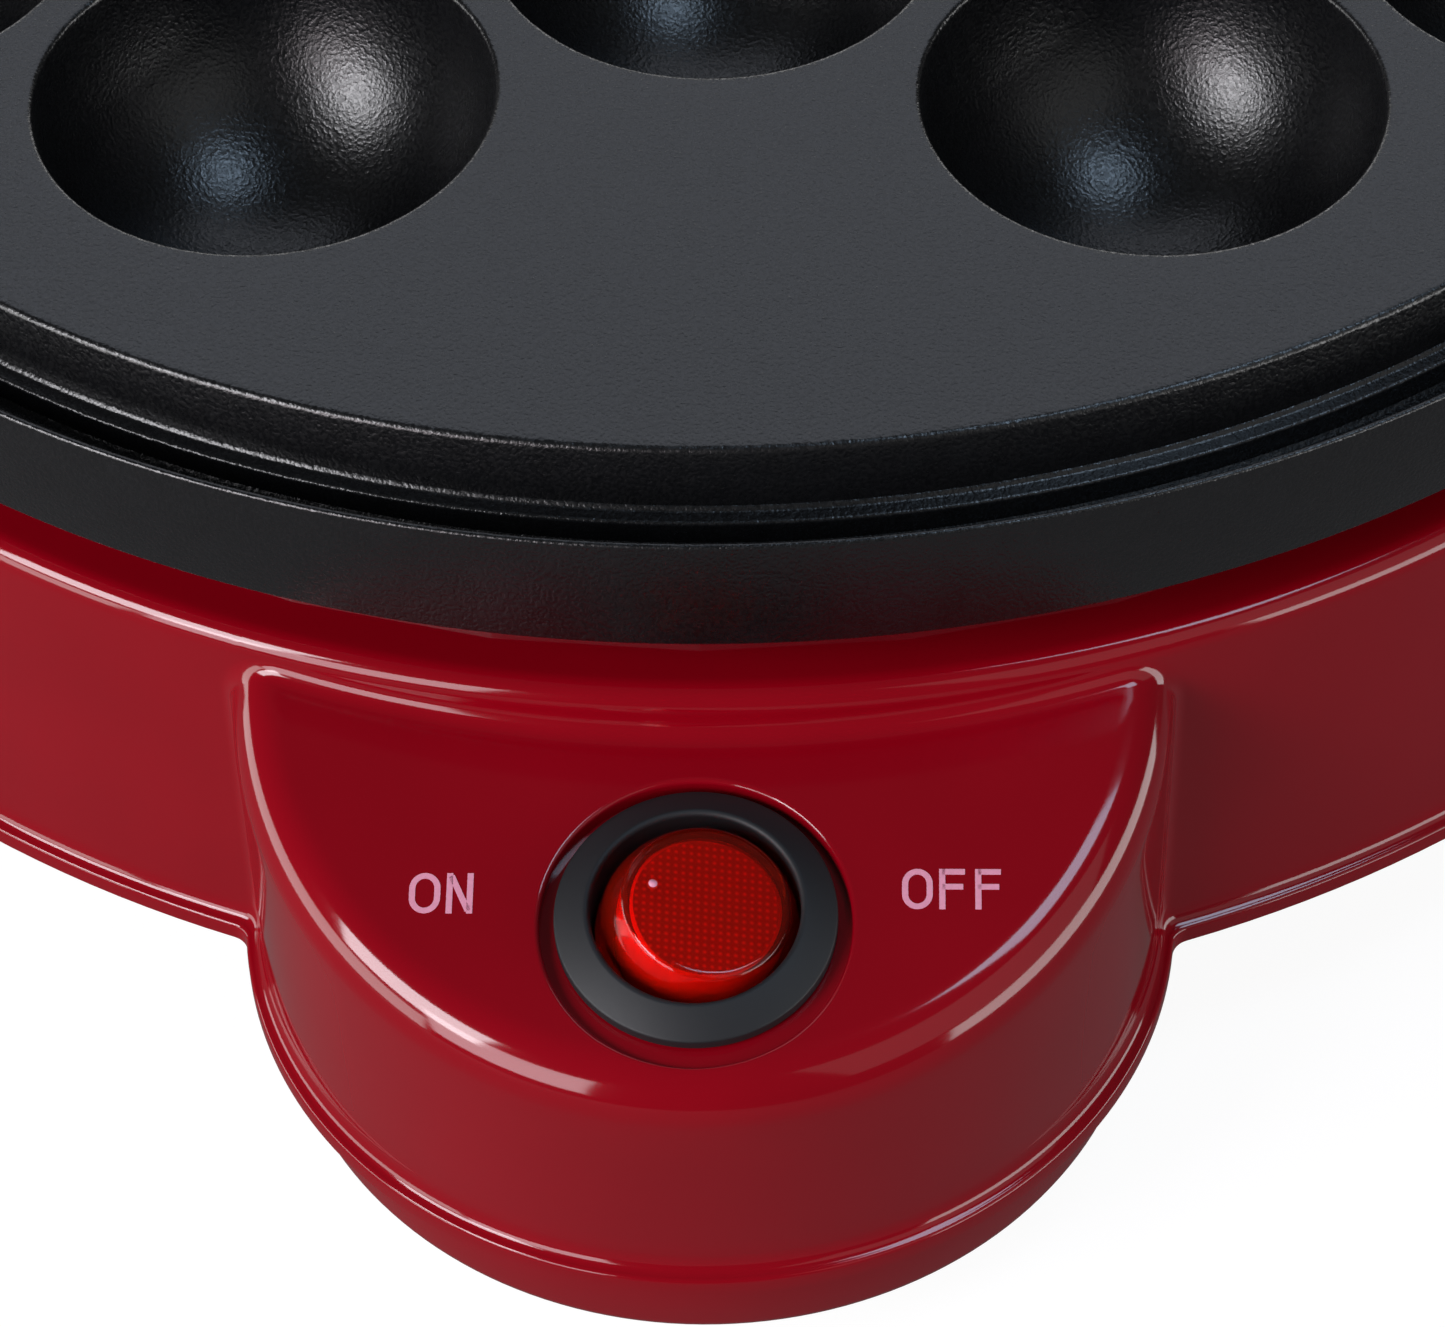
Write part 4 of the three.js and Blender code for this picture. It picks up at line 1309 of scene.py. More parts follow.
            centre, contact = self.rolled(over_edge, *self.edge_search)
            found.append((self.touch(centre), centre, contact))
        edge = found[-1][2].x
        out = self.panel_out()
        middle = []
        for i in range(1, self.brow_steps):
            x = edge - 2 * edge * i / self.brow_steps

            def over_panel(y: float, x: float = x) -> Pair:
                """Gives the ball's contact with the panel at a place in Y, and its centre."""
                contact = Vector((x, y, self.panel(y)))
                return contact, contact + out * self.blend

            centre, contact = self.rolled(over_panel, *self.panel_search)
            middle.append((self.touch(centre), centre, contact))
        left = [tuple(Vector((-p.x, p.y, p.z)) for p in triple) for triple in reversed(found)]
        return found + middle + left

    def crown(self, split: list[Vector]) -> bpy.types.Object:
        """Builds the wall's upper part, its rounded shoulder and the ledge under the plate.

        Args:
            split: the places where the crown stands on the wall and on the fillet.

        Returns:
            The crown.
        """
        end = self.shoulder_round * math.pi / 2
        lower, upper = self.crown_rows
        columns = []
        for place in split:
            local = (place - self.deck.origin) / MM
            flat = Vector((local.x, local.y, 0)).normalized()
            start = local.z - self.ledge + self.shoulder_round
            if start > 0:
                start = self.shoulder_round * math.asin(min(start / self.shoulder_round, 1.0))
            # The lower rows end where the shoulder starts, or a tenth further on where the fillet lies on it.
            middle = max(0.0, 0.9 * start + 0.1 * end)
            reaches = [start + (middle - start) * i / lower for i in range(1, lower + 1)]
            reaches += [middle + (end - middle) * i / upper for i in range(1, upper + 1)]
            path = [self.climb(reach) for reach in reaches]
            path += [(path[-1][0] - self.land, self.ledge), (self.mouth, self.ledge)]
            above = [self.deck.at(flat.x * radius, flat.y * radius, z) for radius, z in path]
            columns.append([place, *above])
        return sheet("casing_crown", list(zip(*columns)), closed=True)

    def skin(self) -> bpy.types.Object:
        """Builds the outer skin of the casing from its wall, crown, fillet, console top and panel.

        Returns:
            The skin, closed but for the mouth below, the ledge's opening and the cord's entry.
        """
        walls, last = self.walls()
        curve = self.seam_curve()
        lay, corner = self.deck.lay, self.corner_steps
        on_body, columns = self.plan.back_columns + 1, self.plan.blend_columns
        crown = self.crown(last[:on_body] + lay(step[0] for step in reversed(curve[1:-1])))
        seam = sheet("casing_fillet", [lay(arc_between(*step, columns)) for step in curve])
        edge = [step[2] for step in curve[corner : len(curve) - corner]]
        start = edge[0]
        along = (edge[1] - start).normalized()
        turn = math.atan2(start.y + self.plan.console_centre, start.x)
        forward = (self.on_console(math.pi / 2, turn - 0.01) - start).normalized()
        mitre = start + (along + forward).normalized() * (self.land / math.sin(along.angle(forward) / 2))
        mirrored = Vector((-mitre.x, mitre.y, mitre.z))
        console_rows = [last[on_body + columns - 1 : on_body + columns + self.plan.front_columns]]
        for i in range(1, corner + 1):
            console_rows.append(self.console_row(math.pi / 2 * i / corner, curve[i][2], 0.0))
        inner = self.console_row(math.pi / 2, mitre, self.land)
        console_rows.append([self.deck.at(*mirrored), *inner[1:-1], self.deck.at(*mitre)])
        nose = sheet("console_top", console_rows)
        slope = math.radians(self.panel_slope)
        ahead = Vector((0, -math.cos(slope), -math.sin(slope))) * self.land
        inward = [mitre, *[point + ahead for point in edge[1:-1]], mirrored]
        brow = sheet("panel_brow", [lay(edge), lay(inward)])
        skin = joined("casing_skin", [walls, crown, seam, nose, brow])
        filled(skin, self.on_panel)
        return tidy(skin, self.smooth_bend)

    def console_row(self, rise: float, contact: Vector, further: float) -> list[Vector]:
        """Walks round the console at one height of its rounded edge, from the left seam to the right one.

        Args:
            rise: how far round the edge the row lies, in radians, from 0 on the side to a quarter turn.
            contact: the row's contact with the fillet on the right.
            further: how much further in on the flat panel the row lies.

        Returns:
            The row's points in metres.
        """
        first = math.atan2(contact.y + self.plan.console_centre, contact.x)
        start, end = math.pi - first, 2 * math.pi + first
        row = []
        for i in range(self.plan.front_columns + 1):
            turn = start + (end - start) * i / self.plan.front_columns
            point = self.on_console(rise, turn)
            if further:
                x, y = point.x - further * math.cos(turn), point.y - further * math.sin(turn)
                point = Vector((x, y, self.panel(y)))
            row.append(self.deck.at(*point))
        return row

    def on_panel(self, edge: bmesh.types.BMEdge) -> bool:
        """Says whether an open edge bounds the flat panel.

        Args:
            edge: the open edge.

        Returns:
            True if both of its ends lie in the panel's plane and in front of its rear.
        """
        for vertex in edge.verts:
            local = (vertex.co - self.deck.origin) / MM
            if abs(local.z - self.panel(local.y)) > 0.01 or local.y > self.panel_rear:
                return False
        return True

    def seat_frame(self) -> tuple[Vector, Vector, Vector, Vector]:
        """Gives the switch seat's place and axes.

        Returns:
            Its middle, and its directions to the right, up the slope and out of the seat.
        """
        y = -self.plan.console_centre - self.switch_reach
        slopes = math.tan(math.radians(self.panel_slope)) - math.tan(math.radians(self.seat_slope))
        middle = Vector((0, y, self.panel(y) - self.seat_radius * slopes))
        tilt = math.radians(self.seat_slope)
        up = Vector((0, math.cos(tilt), math.sin(tilt)))
        out = Vector((0, -math.sin(tilt), math.cos(tilt)))
        return middle, Vector((1, 0, 0)), up, out

    def top(self, x: float, y: float) -> float:
        """Gives the height of the console's top, its panel and its rounded edge.

        Args:
            x: the place's distance to the right of the middle.
            y: its place along Y.

        Returns:
            The height there.
        """
        past = math.hypot(x, y + self.plan.console_centre) - self.console + self.console_round
        if past <= 0:
            return self.panel(y)
        return self.panel(y) - self.console_round + math.sqrt(max(self.console_round**2 - past**2, 0.0))

    def ring_of_seat(self, radius: float, shift: float, lift: float) -> list[Vector]:
        """Lays a circle of points parallel to the seat's floor.

        Args:
            radius: the circle's radius.
            shift: how far up the slope its middle lies.
            lift: its height above the seat.

        Returns:
            The points, counted from the plate's top.
        """
        middle, right, up, out = self.seat_frame()
        angles = [2 * math.pi * i / self.seat_steps for i in range(self.seat_steps)]
        base = middle + up * shift + out * lift
        return [base + right * (radius * math.cos(a)) + up * (radius * math.sin(a)) for a in angles]

    def height_over(self, place: Vector) -> float:
        """Measures along the seat's axis how far the console's top lies above a place.

        Args:
            place: the place, counted from the plate's top.

        Returns:
            The distance, negative if the top lies below it.
        """
        out = self.seat_frame()[3]
        lean = math.tan(math.radians(self.panel_slope))
        found = 0.0
        for _ in range(4):
            point = place + out * found
            found += (self.top(point.x, point.y) - point.z) / (out.z - lean * out.y)
        return found

    def seat(self) -> bpy.types.Object:
        """Builds the switch's seat, with its rounded rim in the panel and the switch's hole in its floor.

        Returns:
            The seat.
        """
        origin, _, up, out = self.seat_frame()
        soft, shift, sink = self.seat_round, self.seat_shift, self.seat_sink
        middle = origin + up * shift
        recess = self.seat_radius + self.seat_play
        rim = self.ring_of_seat(recess + soft + self.seat_play, shift, 0.0)
        rows = [[point + out * self.height_over(point) for point in rim]]
        for share in (0.0, 0.25, 0.5, 0.75, 1.0):
            bend = share * math.pi / 2
            row = []
            for wall in self.ring_of_seat(recess, shift, 0.0):
                reach = min(soft, self.seat_rim_share * (self.height_over(wall) + sink))
                flat = wall + (wall - middle).normalized() * reach * (1 - math.sin(bend))
                row.append(flat + out * (self.height_over(flat) - reach * (1 - math.cos(bend))))
            rows.append(row)
        rows += [
            self.ring_of_seat(recess, shift, -sink),
            self.ring_of_seat(self.hole_radius, self.switch_shift, -sink),
            self.ring_of_seat(self.hole_radius, self.switch_shift, -sink - self.seat_floor),
            self.ring_of_seat(recess + soft + self.seat_play, shift, -sink - self.seat_floor),
            rows[0],
        ]
        seat = sheet("switch_seat", [self.deck.lay(row) for row in rows], closed=True)
        return tidy(seat, SMOOTH_BEND)

    def build(self, finishes: Finishes) -> list[bpy.types.Object]:
        """Builds and dresses the casing.

        Args:
            finishes: the shared materials.

        Returns:
            The casing, alone in a list.
        """
        skin = self.skin()
        walled(skin, self.wall, -1)
        middle, _, up, _ = self.seat_frame()
        deselect()
        bpy.ops.mesh.primitive_cylinder_add(
            vertices=self.seat_steps,
            radius=(self.seat_radius + 2 * self.seat_play + self.seat_round) * MM,
            depth=self.drill_depth * MM,
            location=self.deck.at(*(middle + up * self.seat_shift)),
            rotation=(math.radians(self.seat_slope), 0, 0),
        )
        cut(skin, bpy.context.active_object)
        casing = joined("moulded_casing", [skin, self.seat()])
        wear(casing, finishes.crimson)
        return [hand_over(casing, Body.BASE, Slot.CRIMSON, ["upper_casing"])]


@dataclass
class LowerTray:
    """The tray under the casing, with the console's band and vents."""

    deck: Deck
    plan: Plan = field(default_factory=Plan)
    radius: float = 110.1
    band: float = 38.75
    band_draft: float = 0.5
    edge: float = 1.4
    level: float = -66.5
    step: float = -57.5
    flange: float = 116.9
    flange_top: float = -55.1
    tongue: float = 36.7
    tongue_top: float = -53.2
    wall: float = 2.4
    blend: float = 1.5
    vent_count: int = 8
    vent_radius: float = 62.0
    vent_length: float = 26.0
    vent_width: float = 3.0
    vent_cut: float = 9.0
    step_round: float = 0.3

    def vents(self) -> bpy.types.Object:
        """Builds the blocks that cut the vents, set like rays round the tray's middle.

        Returns:
            The blocks as one piece.
        """
        slots = []
        for i in range(self.vent_count):
            angle = math.pi / self.vent_count + 2 * math.pi * i / self.vent_count
            x, y = self.vent_radius * math.cos(angle), self.vent_radius * math.sin(angle)
            deselect()
            bpy.ops.mesh.primitive_cube_add(
                size=1, location=self.deck.at(x, y, self.level), rotation=(0, 0, angle)
            )
            slot = bpy.context.active_object
            slot.scale = (self.vent_length * MM, self.vent_width * MM, self.vent_cut * MM)
            settle(slot)
            slots.append(slot)
        return joined("vents", slots)

    def build(self, finishes: Finishes) -> list[bpy.types.Object]:
        """Builds and dresses the tray.

        Args:
            finishes: the shared materials.

        Returns:
            The tray, alone in a list.
        """
        low, soft = self.band - self.band_draft, self.step_round
        rings = []
        for radius, z in arc((-self.edge, self.level + self.edge), self.edge, -90, 0, 6):
            rings.append((self.radius + radius, low + radius, z, z))
        for radius, z in arc((-soft, self.step - soft), soft, 0, 90, 3):
            rings.append((self.radius + radius, self.band + radius, z, z))
        inner, inner_tongue = self.radius - self.wall, self.tongue - self.wall
        inner_level = self.level + self.wall
        rings += [
            (self.flange, self.tongue, self.step, self.step),
            (self.flange, self.tongue, self.flange_top, self.tongue_top),
            (inner, inner_tongue, self.flange_top, self.tongue_top),
            (inner, inner_tongue, inner_level, inner_level),
        ]
        rows = []
        for body, console, level, front_level in rings:
            ring = self.plan.outline(body, console, self.blend, level, lambda y, z=front_level: z)
            rows.append(self.deck.lay(ring))
        tray = sheet("tray_wall", rows, closed=True)
        capped(tray, self.deck.at(0, 0, self.level).z, self.deck.at(0, 0, inner_level).z)
        tidy(tray, SMOOTH_BEND)
        cut(tray, self.vents())
        tray.name = "moulded_tray"
        wear(tray, finishes.crimson)
        return [hand_over(tray, Body.BASE, Slot.CRIMSON, ["lower_tray"])]


@dataclass
class Feet:
    """Four push-in rubber feet under the tray."""

    deck: Deck
    circle: float = 95.0
    radius: float = 8.5
    taper: float = 1.0
    shoulder: float = -66.8
    ground: float = -73.0
    edge_round: float = 0.8
    cup_mouth: float = 0.55
    cup_floor: float = 0.5
    cup_depth: float = 0.6
    steps: int = 48

    def build(self, finishes: Finishes) -> list[bpy.types.Object]:
        """Builds and dresses the feet.

        Args:
            finishes: the shared materials.

        Returns:
            The feet.
        """
        soft, ground = self.edge_round, self.ground
        profile = [
            (0, self.shoulder),
            (self.radius - self.taper, self.shoulder),
            (self.radius, ground + soft),
            *arc((self.radius - soft, ground + soft), soft, 0, -90, 5),
            (self.radius * self.cup_mouth, ground),
            (self.radius * self.cup_floor, ground + self.cup_depth),
            (0, ground + self.cup_depth),
        ]
        model = tidy(spun("foot", profile, self.steps, self.deck.origin))
        feet = []
        for number, angle in enumerate(DIAGONALS, 1):
            foot = copied(model, Vector((math.cos(angle), math.sin(angle), 0)) * self.circle * MM)
            foot.name = f"rubber_foot_{number}"
            wear(foot, finishes.rubber)
            feet.append(hand_over(foot, Body.BASE, Slot.RUBBER, [f"foot_{number}"]))
        bpy.data.objects.remove(model)
        return feet


@dataclass
class CordGland:
    """The rubber bush in the back wall that the mains cord would pass through."""

    deck: Deck
    drop: float = 44.0
    bore: float = 3.2
    radius: float = 5.6
    collar: float = 7.6
    collar_back: float = 0.3
    collar_front: float = 1.4
    collar_round: float = 0.5
    face: float = 119.17
    tail: float = 12.0
    steps: int = 64

    def build(self, finishes: Finishes) -> list[bpy.types.Object]:
        """Builds and dresses the gland.

        Args:
            finishes: the shared materials.

        Returns:
            The gland, alone in a list.
        """
        soft, back, front = self.collar_round, self.collar_back, self.collar_front
        profile = [
            (self.bore, -self.tail),
            (self.radius, -self.tail),
            (self.radius, back),
            (self.collar, back),
            *arc((self.collar - soft, front - soft), soft, 0, 90, 4),
            *arc((self.bore + soft, front - soft), soft, 90, 180, 4),
            (self.bore, -self.tail),
        ]
        gland = spun("rubber_gland", profile, self.steps, ORIGIN)
        turn = Matrix.Rotation(-math.pi / 2, 4, "X")
        gland.data.transform(Matrix.Translation(self.deck.at(0, self.face, -self.drop)) @ turn)
        tidy(gland)
        wear(gland, finishes.rubber)
        return [hand_over(gland, Body.BASE, Slot.RUBBER, ["cord_gland"])]


@dataclass
class RockerSwitch:
    """The round rocker switch: slate bezel, tinted cap that tips, dotted diffuser and shortened spring."""

    deck: Deck
    casing: UpperCasing
    cad_spring: bpy.types.Object
    bezel: float = 11.55
    bezel_foot: float = -0.45
    bezel_edge: float = 0.9
    bezel_crest: float = 2.2
    bezel_round: float = 0.3
    bezel_bevel: float = 0.25
    bore: float = 8.56
    bore_round: float = 0.42
    barrel: float = 9.3
    barrel_end: float = -13.7
    floor: float = 1.6
    pivot: float = -2.5
    tilt: float = 10.5
    rocker: float = 7.1
    crown: float = 5.7
    crown_round: float = 0.8
    shell: float = 1.25
    skirt: float = 0.6
    skirt_radius: float = 8.3
    side: tuple[Flat, ...] = ((8.34, 0.6), (8.28, 1.6), (8.1, 2.6), (7.84, 3.5), (7.52, 4.3))
    hollow_rows: int = 5
    roof_round: float = 0.35
    core_play: float = 0.12
    core_bevel: Flat = (0.1, 0.3)
    core_drop: float = 0.25
    spring_room: float = 0.35
    pip: float = 0.46
    pip_stand: float = 0.6
    pip_place: Flat = (-4.5, 1.2)
    steps: int = 160
    core_steps: int = 128
    pip_steps: int = 24

    def seat(self) -> Matrix:
        """Gives the seat's frame, from the switch's own axes to the shared frame, in metres."""
        middle, right, up, out = self.casing.seat_frame()
        frame = Matrix((right, up, out)).transposed().to_4x4()
        return Matrix.Translation(self.deck.at(*(middle + up * self.casing.switch_shift))) @ frame

    def pivot_frame(self) -> Matrix:
        """Gives the rocker's frame at its pivot, tipped to OFF."""
        lift = Matrix.Translation(Vector((0, 0, self.pivot * MM)))
        return self.seat() @ lift @ Matrix.Rotation(math.radians(self.tilt), 4, "Y")

    def housing(self, finishes: Finishes) -> bpy.types.Object:
        """Builds and dresses the bezel, whose face rises to the bore, with its barrel.

        Args:
            finishes: the shared materials.

        Returns:
            The housing.
        """
        base = self.barrel_end + self.floor
        soft, inner, bevel = self.bezel_round, self.bore_round, self.bezel_bevel
        fall = math.degrees(math.atan2(self.bezel_crest - self.bezel_edge, self.bezel - self.bore))
        profile = [
            (0, self.barrel_end),
            (self.barrel, self.barrel_end),
            (self.barrel, self.bezel_foot),
            (self.bezel - bevel, self.bezel_foot),
            (self.bezel, self.bezel_foot + bevel),
            *arc((self.bezel - soft, self.bezel_edge - soft), soft, 0, 90 - fall, 6),
            *arc((self.bore + inner, self.bezel_crest - inner), inner, 90 - fall, 180, 7),
            (self.bore, base),
            (0, base),
        ]
        housing = tidy(spun("switch_bezel", profile, self.steps, ORIGIN))
        housing.data.transform(self.seat())
        wear(housing, finishes.slate)
        return hand_over(housing, Body.BASE, Slot.SLATE, ["switch_housing"])

    def outside(self) -> Profile:
        """Lists the cap's outline from its skirt up to the rounded edge of its face.

        Returns:
            Radius and height of each point, counted from the pivot.
        """
        edge = self.rocker - self.crown_round
        rounded = arc((edge, self.crown - self.crown_round), self.crown_round, 12, 90, 8)
        return [(self.skirt_radius, -self.skirt), *self.side, *rounded]

    def inside(self) -> Profile:
        """Lists the cap's inner side from its roof down to its skirt."""
        rows = reversed(self.outside()[: self.hollow_rows])
        return [(radius - self.shell, height) for radius, height in rows]

    def cap(self, finishes: Finishes) -> bpy.types.Object:
        """Builds and dresses the tinted cap.

        Args:
            finishes: the shared materials.

        Returns:
            The cap.
        """
        outside = self.outside()
        roof = self.crown - self.shell
        profile = [
            *outside,
            (0, self.crown),
            (0, roof),
            (self.rocker - self.shell + self.roof_round, roof),
            *self.inside(),
            outside[0],
        ]
        cap = tidy(spun("rocker_cap", profile, self.steps, ORIGIN))
        cap.data.transform(self.pivot_frame())
        wear(cap, finishes.lens)
        return hand_over(cap, Body.ROCKER, Slot.LENS, ["switch_rocker"])

    def diffuser(self) -> bpy.types.Object:
        """Builds and dresses the diffuser that fills the cap, dotted on its face and plain on its side, which
        is painted brighter as if lit.

        Returns:
            The diffuser.
        """
        play, radius = self.core_play, self.rocker - self.shell
        top = self.crown - self.shell - play
        near, far = self.core_bevel
        profile = [
            (0, top),
            (radius + near, top),
            (radius + far, top - self.core_drop),
            *[(r - play, height) for r, height in self.inside()],
            (0, -self.skirt),
        ]
        diffuser = tidy(spun("rocker_diffuser", profile, self.core_steps, ORIGIN))
        frame = self.pivot_frame()
        diffuser.data.transform(frame)
        finish = DottedDiffuser()
        wear(diffuser, finish.make(frame.translation))
        diffuser.data.materials.append(finish.plain())
        out = frame.to_3x3() @ Vector((0, 0, 1))
        # Faces that turn away from the face take the side's material, painted brighter as lit.
        for polygon in diffuser.data.polygons:
            polygon.material_index = int(polygon.normal.dot(out) < 0.9)
        return hand_over(diffuser, Body.ROCKER, Slot.LENS)

    def pip_with_painted_glint(self, finishes: Finishes) -> bpy.types.Object:
        """Builds and dresses the small pip on the cap's face, in pale pink ink as a painted glint.

        Args:
            finishes: the shared materials.

        Returns:
            The pip.
        """
        profile = [*arc((0, 0), self.pip, 0, 80, 5), (0, self.pip)]
        pip = tidy(spun("rocker_pip_painted_glint", profile, self.pip_steps, ORIGIN), 60)
        place = Vector((*self.pip_place, self.crown - self.pip_stand * self.pip)) * MM
        pip.data.transform(Matrix.Translation(place))
        pip.data.transform(self.pivot_frame())
        # The pip's shape is its own, but its pale pink ink is a painted glint that stands in for a
        # reflection.
        wear(pip, finishes.ink)
        return hand_over(pip, Body.ROCKER, Slot.LENS)

    def spring(self, finishes: Finishes) -> bpy.types.Object:
        """Copies the plunger's spring, shortened so that its top coil stays under the diffuser's face.

        Args:
            finishes: the shared materials.

        Returns:
            The spring.
        """
        spring = tidy(copied(self.cad_spring, ORIGIN))
        spring.name = "rocker_spring"
        frame = self.pivot_frame()
        spring.data.transform(frame.inverted())
        heights = [vertex.co.z for vertex in spring.data.vertices]
        foot, top = min(heights), max(heights)
        share = ((self.crown - self.shell - self.spring_room) * MM - foot) / (top - foot)
        for vertex in spring.data.vertices:
            vertex.co.z = foot + (vertex.co.z - foot) * share
        spring.data.transform(frame)
        wear(spring, finishes.zinc)
        return hand_over(spring, Body.ROCKER, Slot.STEEL, ["plunger_spring"])

    def build(self, finishes: Finishes) -> list[bpy.types.Object]:
        """Builds and dresses the switch.

        Args:
            finishes: the shared materials.

        Returns:
            The housing, the cap, the diffuser, the pip and the spring.
        """
        housing, cap = self.housing(finishes), self.cap(finishes)
        return [housing, cap, self.diffuser(), self.pip_with_painted_glint(finishes), self.spring(finishes)]


@dataclass
class PanelPrint:
    """The words at the switch's two sides, pad-printed on the panel in upright strokes of one width."""

    deck: Deck
    casing: UpperCasing
    lift: float = 0.015
    thickness: float = 0.03
    stroke: float = 0.5
    height: float = 3.62
    bend_share: float = 1.12
    bend_steps: int = 48
    long_arm: float = 2.1
    short_arm: float = 1.95
    short_arm_level: float = 0.22
    on_place: Flat = (-23.38, -132.2)
    off_place: Flat = (16.71, -131.68)
    smooth_bend: float = 30.0

    def upright(self, x: float) -> Profile:
        """Draws the centre line of an upright stroke at a place."""
        return [(x, -self.height / 2), (x, self.height / 2)]

    def letter_o(self, left: float, right: float) -> Profile:
        """Draws the centre line of a letter O between two sides.

        Args:
            left: the letter's left side.
            right: its right side.

        Returns:
            The closed line's points.
        """
        wide, tall = (right - left - self.stroke) / 2, (self.height - self.stroke) / 2
        middle = (left + right) / 2
        bend = wide * self.bend_share
        points = []
        for i in range(self.bend_steps):
            a = 2 * math.pi * i / self.bend_steps
            lean = math.sin(a)
            level = bend * lean + math.copysign(tall - bend, lean) if abs(lean) > TINY else 0.0
            points.append((middle + wide * math.cos(a), level))
        return [*points, points[0]]

    def letter_n(self, left: float, right: float) -> list[Profile]:
        """Draws the centre lines of a letter N.

        Args:
            left: the place of its first upright.
            right: the place of its second one.

        Returns:
            The lines of its three strokes.
        """
        half, reach = self.stroke / 2, self.height / 2 - self.stroke / 2
        slant = [(left + half / 2, reach), (right - half / 2, -reach)]
        return [self.upright(left), self.upright(right), slant]

    def letter_f(self, left: float) -> list[Profile]:
        """Draws the centre lines of a letter F.

        Args:
            left: the letter's left side.

        Returns:
            The lines of its three strokes.
        """
        half, reach = self.stroke / 2, self.height / 2 - self.stroke / 2
        upper = [(left + half, reach), (left + self.long_arm, reach)]
        lower = [(left + half, self.short_arm_level), (left + self.short_arm, self.short_arm_level)]
        return [self.upright(left + half), upper, lower]

    def ribbon(
        self, name: str, line: Sequence[Flat], place: Callable[[float, float], Vector]
    ) -> bpy.types.Object:
        """Prints a stroke of the ink along a line.

        Args:
            name: the stroke's name.
            line: the centre line's points in the word's own plane.
            place: gives the place on the panel of a point in that plane.

        Returns:
            The stroke.
        """
        closed = math.dist(line[0], line[-1]) < TINY
        sides = [[], []]
        for i, (x, y) in enumerate(line):
            before = line[i - 1] if i else (line[-2] if closed else line[0])
            after = line[i + 1] if i + 1 < len(line) else (line[1] if closed else line[-1])
            along = Vector((after[0] - before[0], after[1] - before[1])).normalized()
            for side, turn in zip(sides, (1, -1)):
                side.append(place(x - along.y * turn * self.stroke / 2, y + along.x * turn * self.stroke / 2))
        return sheet(name, sides)

    def word(self, name: str, origin: Flat, lines: Sequence[Sequence[Flat]]) -> bpy.types.Object:
        """Prints one word on the panel.

        Args:
            name: the word's name.
            origin: the middle of the word's height at its left end, in X and Y.
            lines: the centre lines of its strokes.

        Returns:
            The word as a thin mesh.
        """
        slope = math.radians(self.casing.panel_slope)
        up = Vector((0, math.cos(slope), math.sin(slope)))
        out = self.casing.panel_out()
        base = Vector((origin[0], origin[1], self.casing.panel(origin[1]))) + out * self.lift

        def place(x: float, y: float) -> Vector:
            """Gives the place in metres of a point in the word's plane."""
            return self.deck.at(*(base + Vector((x, 0, 0)) + up * y))

        sign = joined(name, [self.ribbon(name, line, place) for line in lines])
        tidy(sign)
        for face in sign.data.polygons:
            if face.normal.z < 0:
                face.flip()
        walled(sign, self.thickness, 0.0)
        bpy.ops.object.shade_smooth_by_angle(angle=math.radians(self.smooth_bend))
        return sign

    def build(self, finishes: Finishes) -> list[bpy.types.Object]:
        """Prints and dresses the words.

        Args:
            finishes: the shared materials.

        Returns:
            The words.
        """
        on = [self.letter_o(0.0, 2.56), *self.letter_n(3.3, 4.97)]
        off = [self.letter_o(0.0, 2.5), *self.letter_f(3.02), *self.letter_f(5.94)]
        signs = [self.word("print_on", self.on_place, on), self.word("print_off", self.off_place, off)]
        for sign in signs:
            wear(sign, finishes.ink)
            hand_over(sign, Body.BASE, Slot.CRIMSON)
        return signs


@dataclass
class InnerWorks:
    """The CAD nodes that stay as they are and get their real materials."""

    nodes: dict[str, bpy.types.Object]

    def dress(self, finishes: Finishes) -> None:
        """Gives each inner node its material.

        Args:
            finishes: the shared materials.
        """
        # The first entry that a node's name starts with counts, so a screw stands before what it holds.
        wanted = {
            "reflector_pan": finishes.aluminised,
            "heating_element": finishes.sheath,
            "element_insulator": finishes.ceramic,
            "thermostat_bracket": finishes.zinc,
            "thermostat": finishes.ceramic,
            "thermal_fuse": finishes.zinc,
            "fuse_clip": finishes.zinc,
            "terminal_block_screw": finishes.zinc,
            "terminal_block": finishes.nylon,
            "cord_clamp_screw": finishes.zinc,
            "cord_clamp": finishes.nylon,
            "earth_tag": finishes.brass,
            "switch_terminal": finishes.brass,
            "contact_lever": finishes.brass,
            "neon_lamp": finishes.glass,
            "cooking_plate": finishes.coating,
            "upper_casing": finishes.crimson,
            "lower_tray": finishes.crimson,
            "switch_housing": finishes.slate,
            "switch_rocker": finishes.lens,
            "foot": finishes.rubber,
            "cord_gland": finishes.rubber,
        }
        for name, node in self.nodes.items():
            starts = (material for start, material in wanted.items() if name.startswith(start))
            wear(node, next(starts, finishes.zinc))
        log.info("%d CAD nodes dressed", len(self.nodes))


# Studio


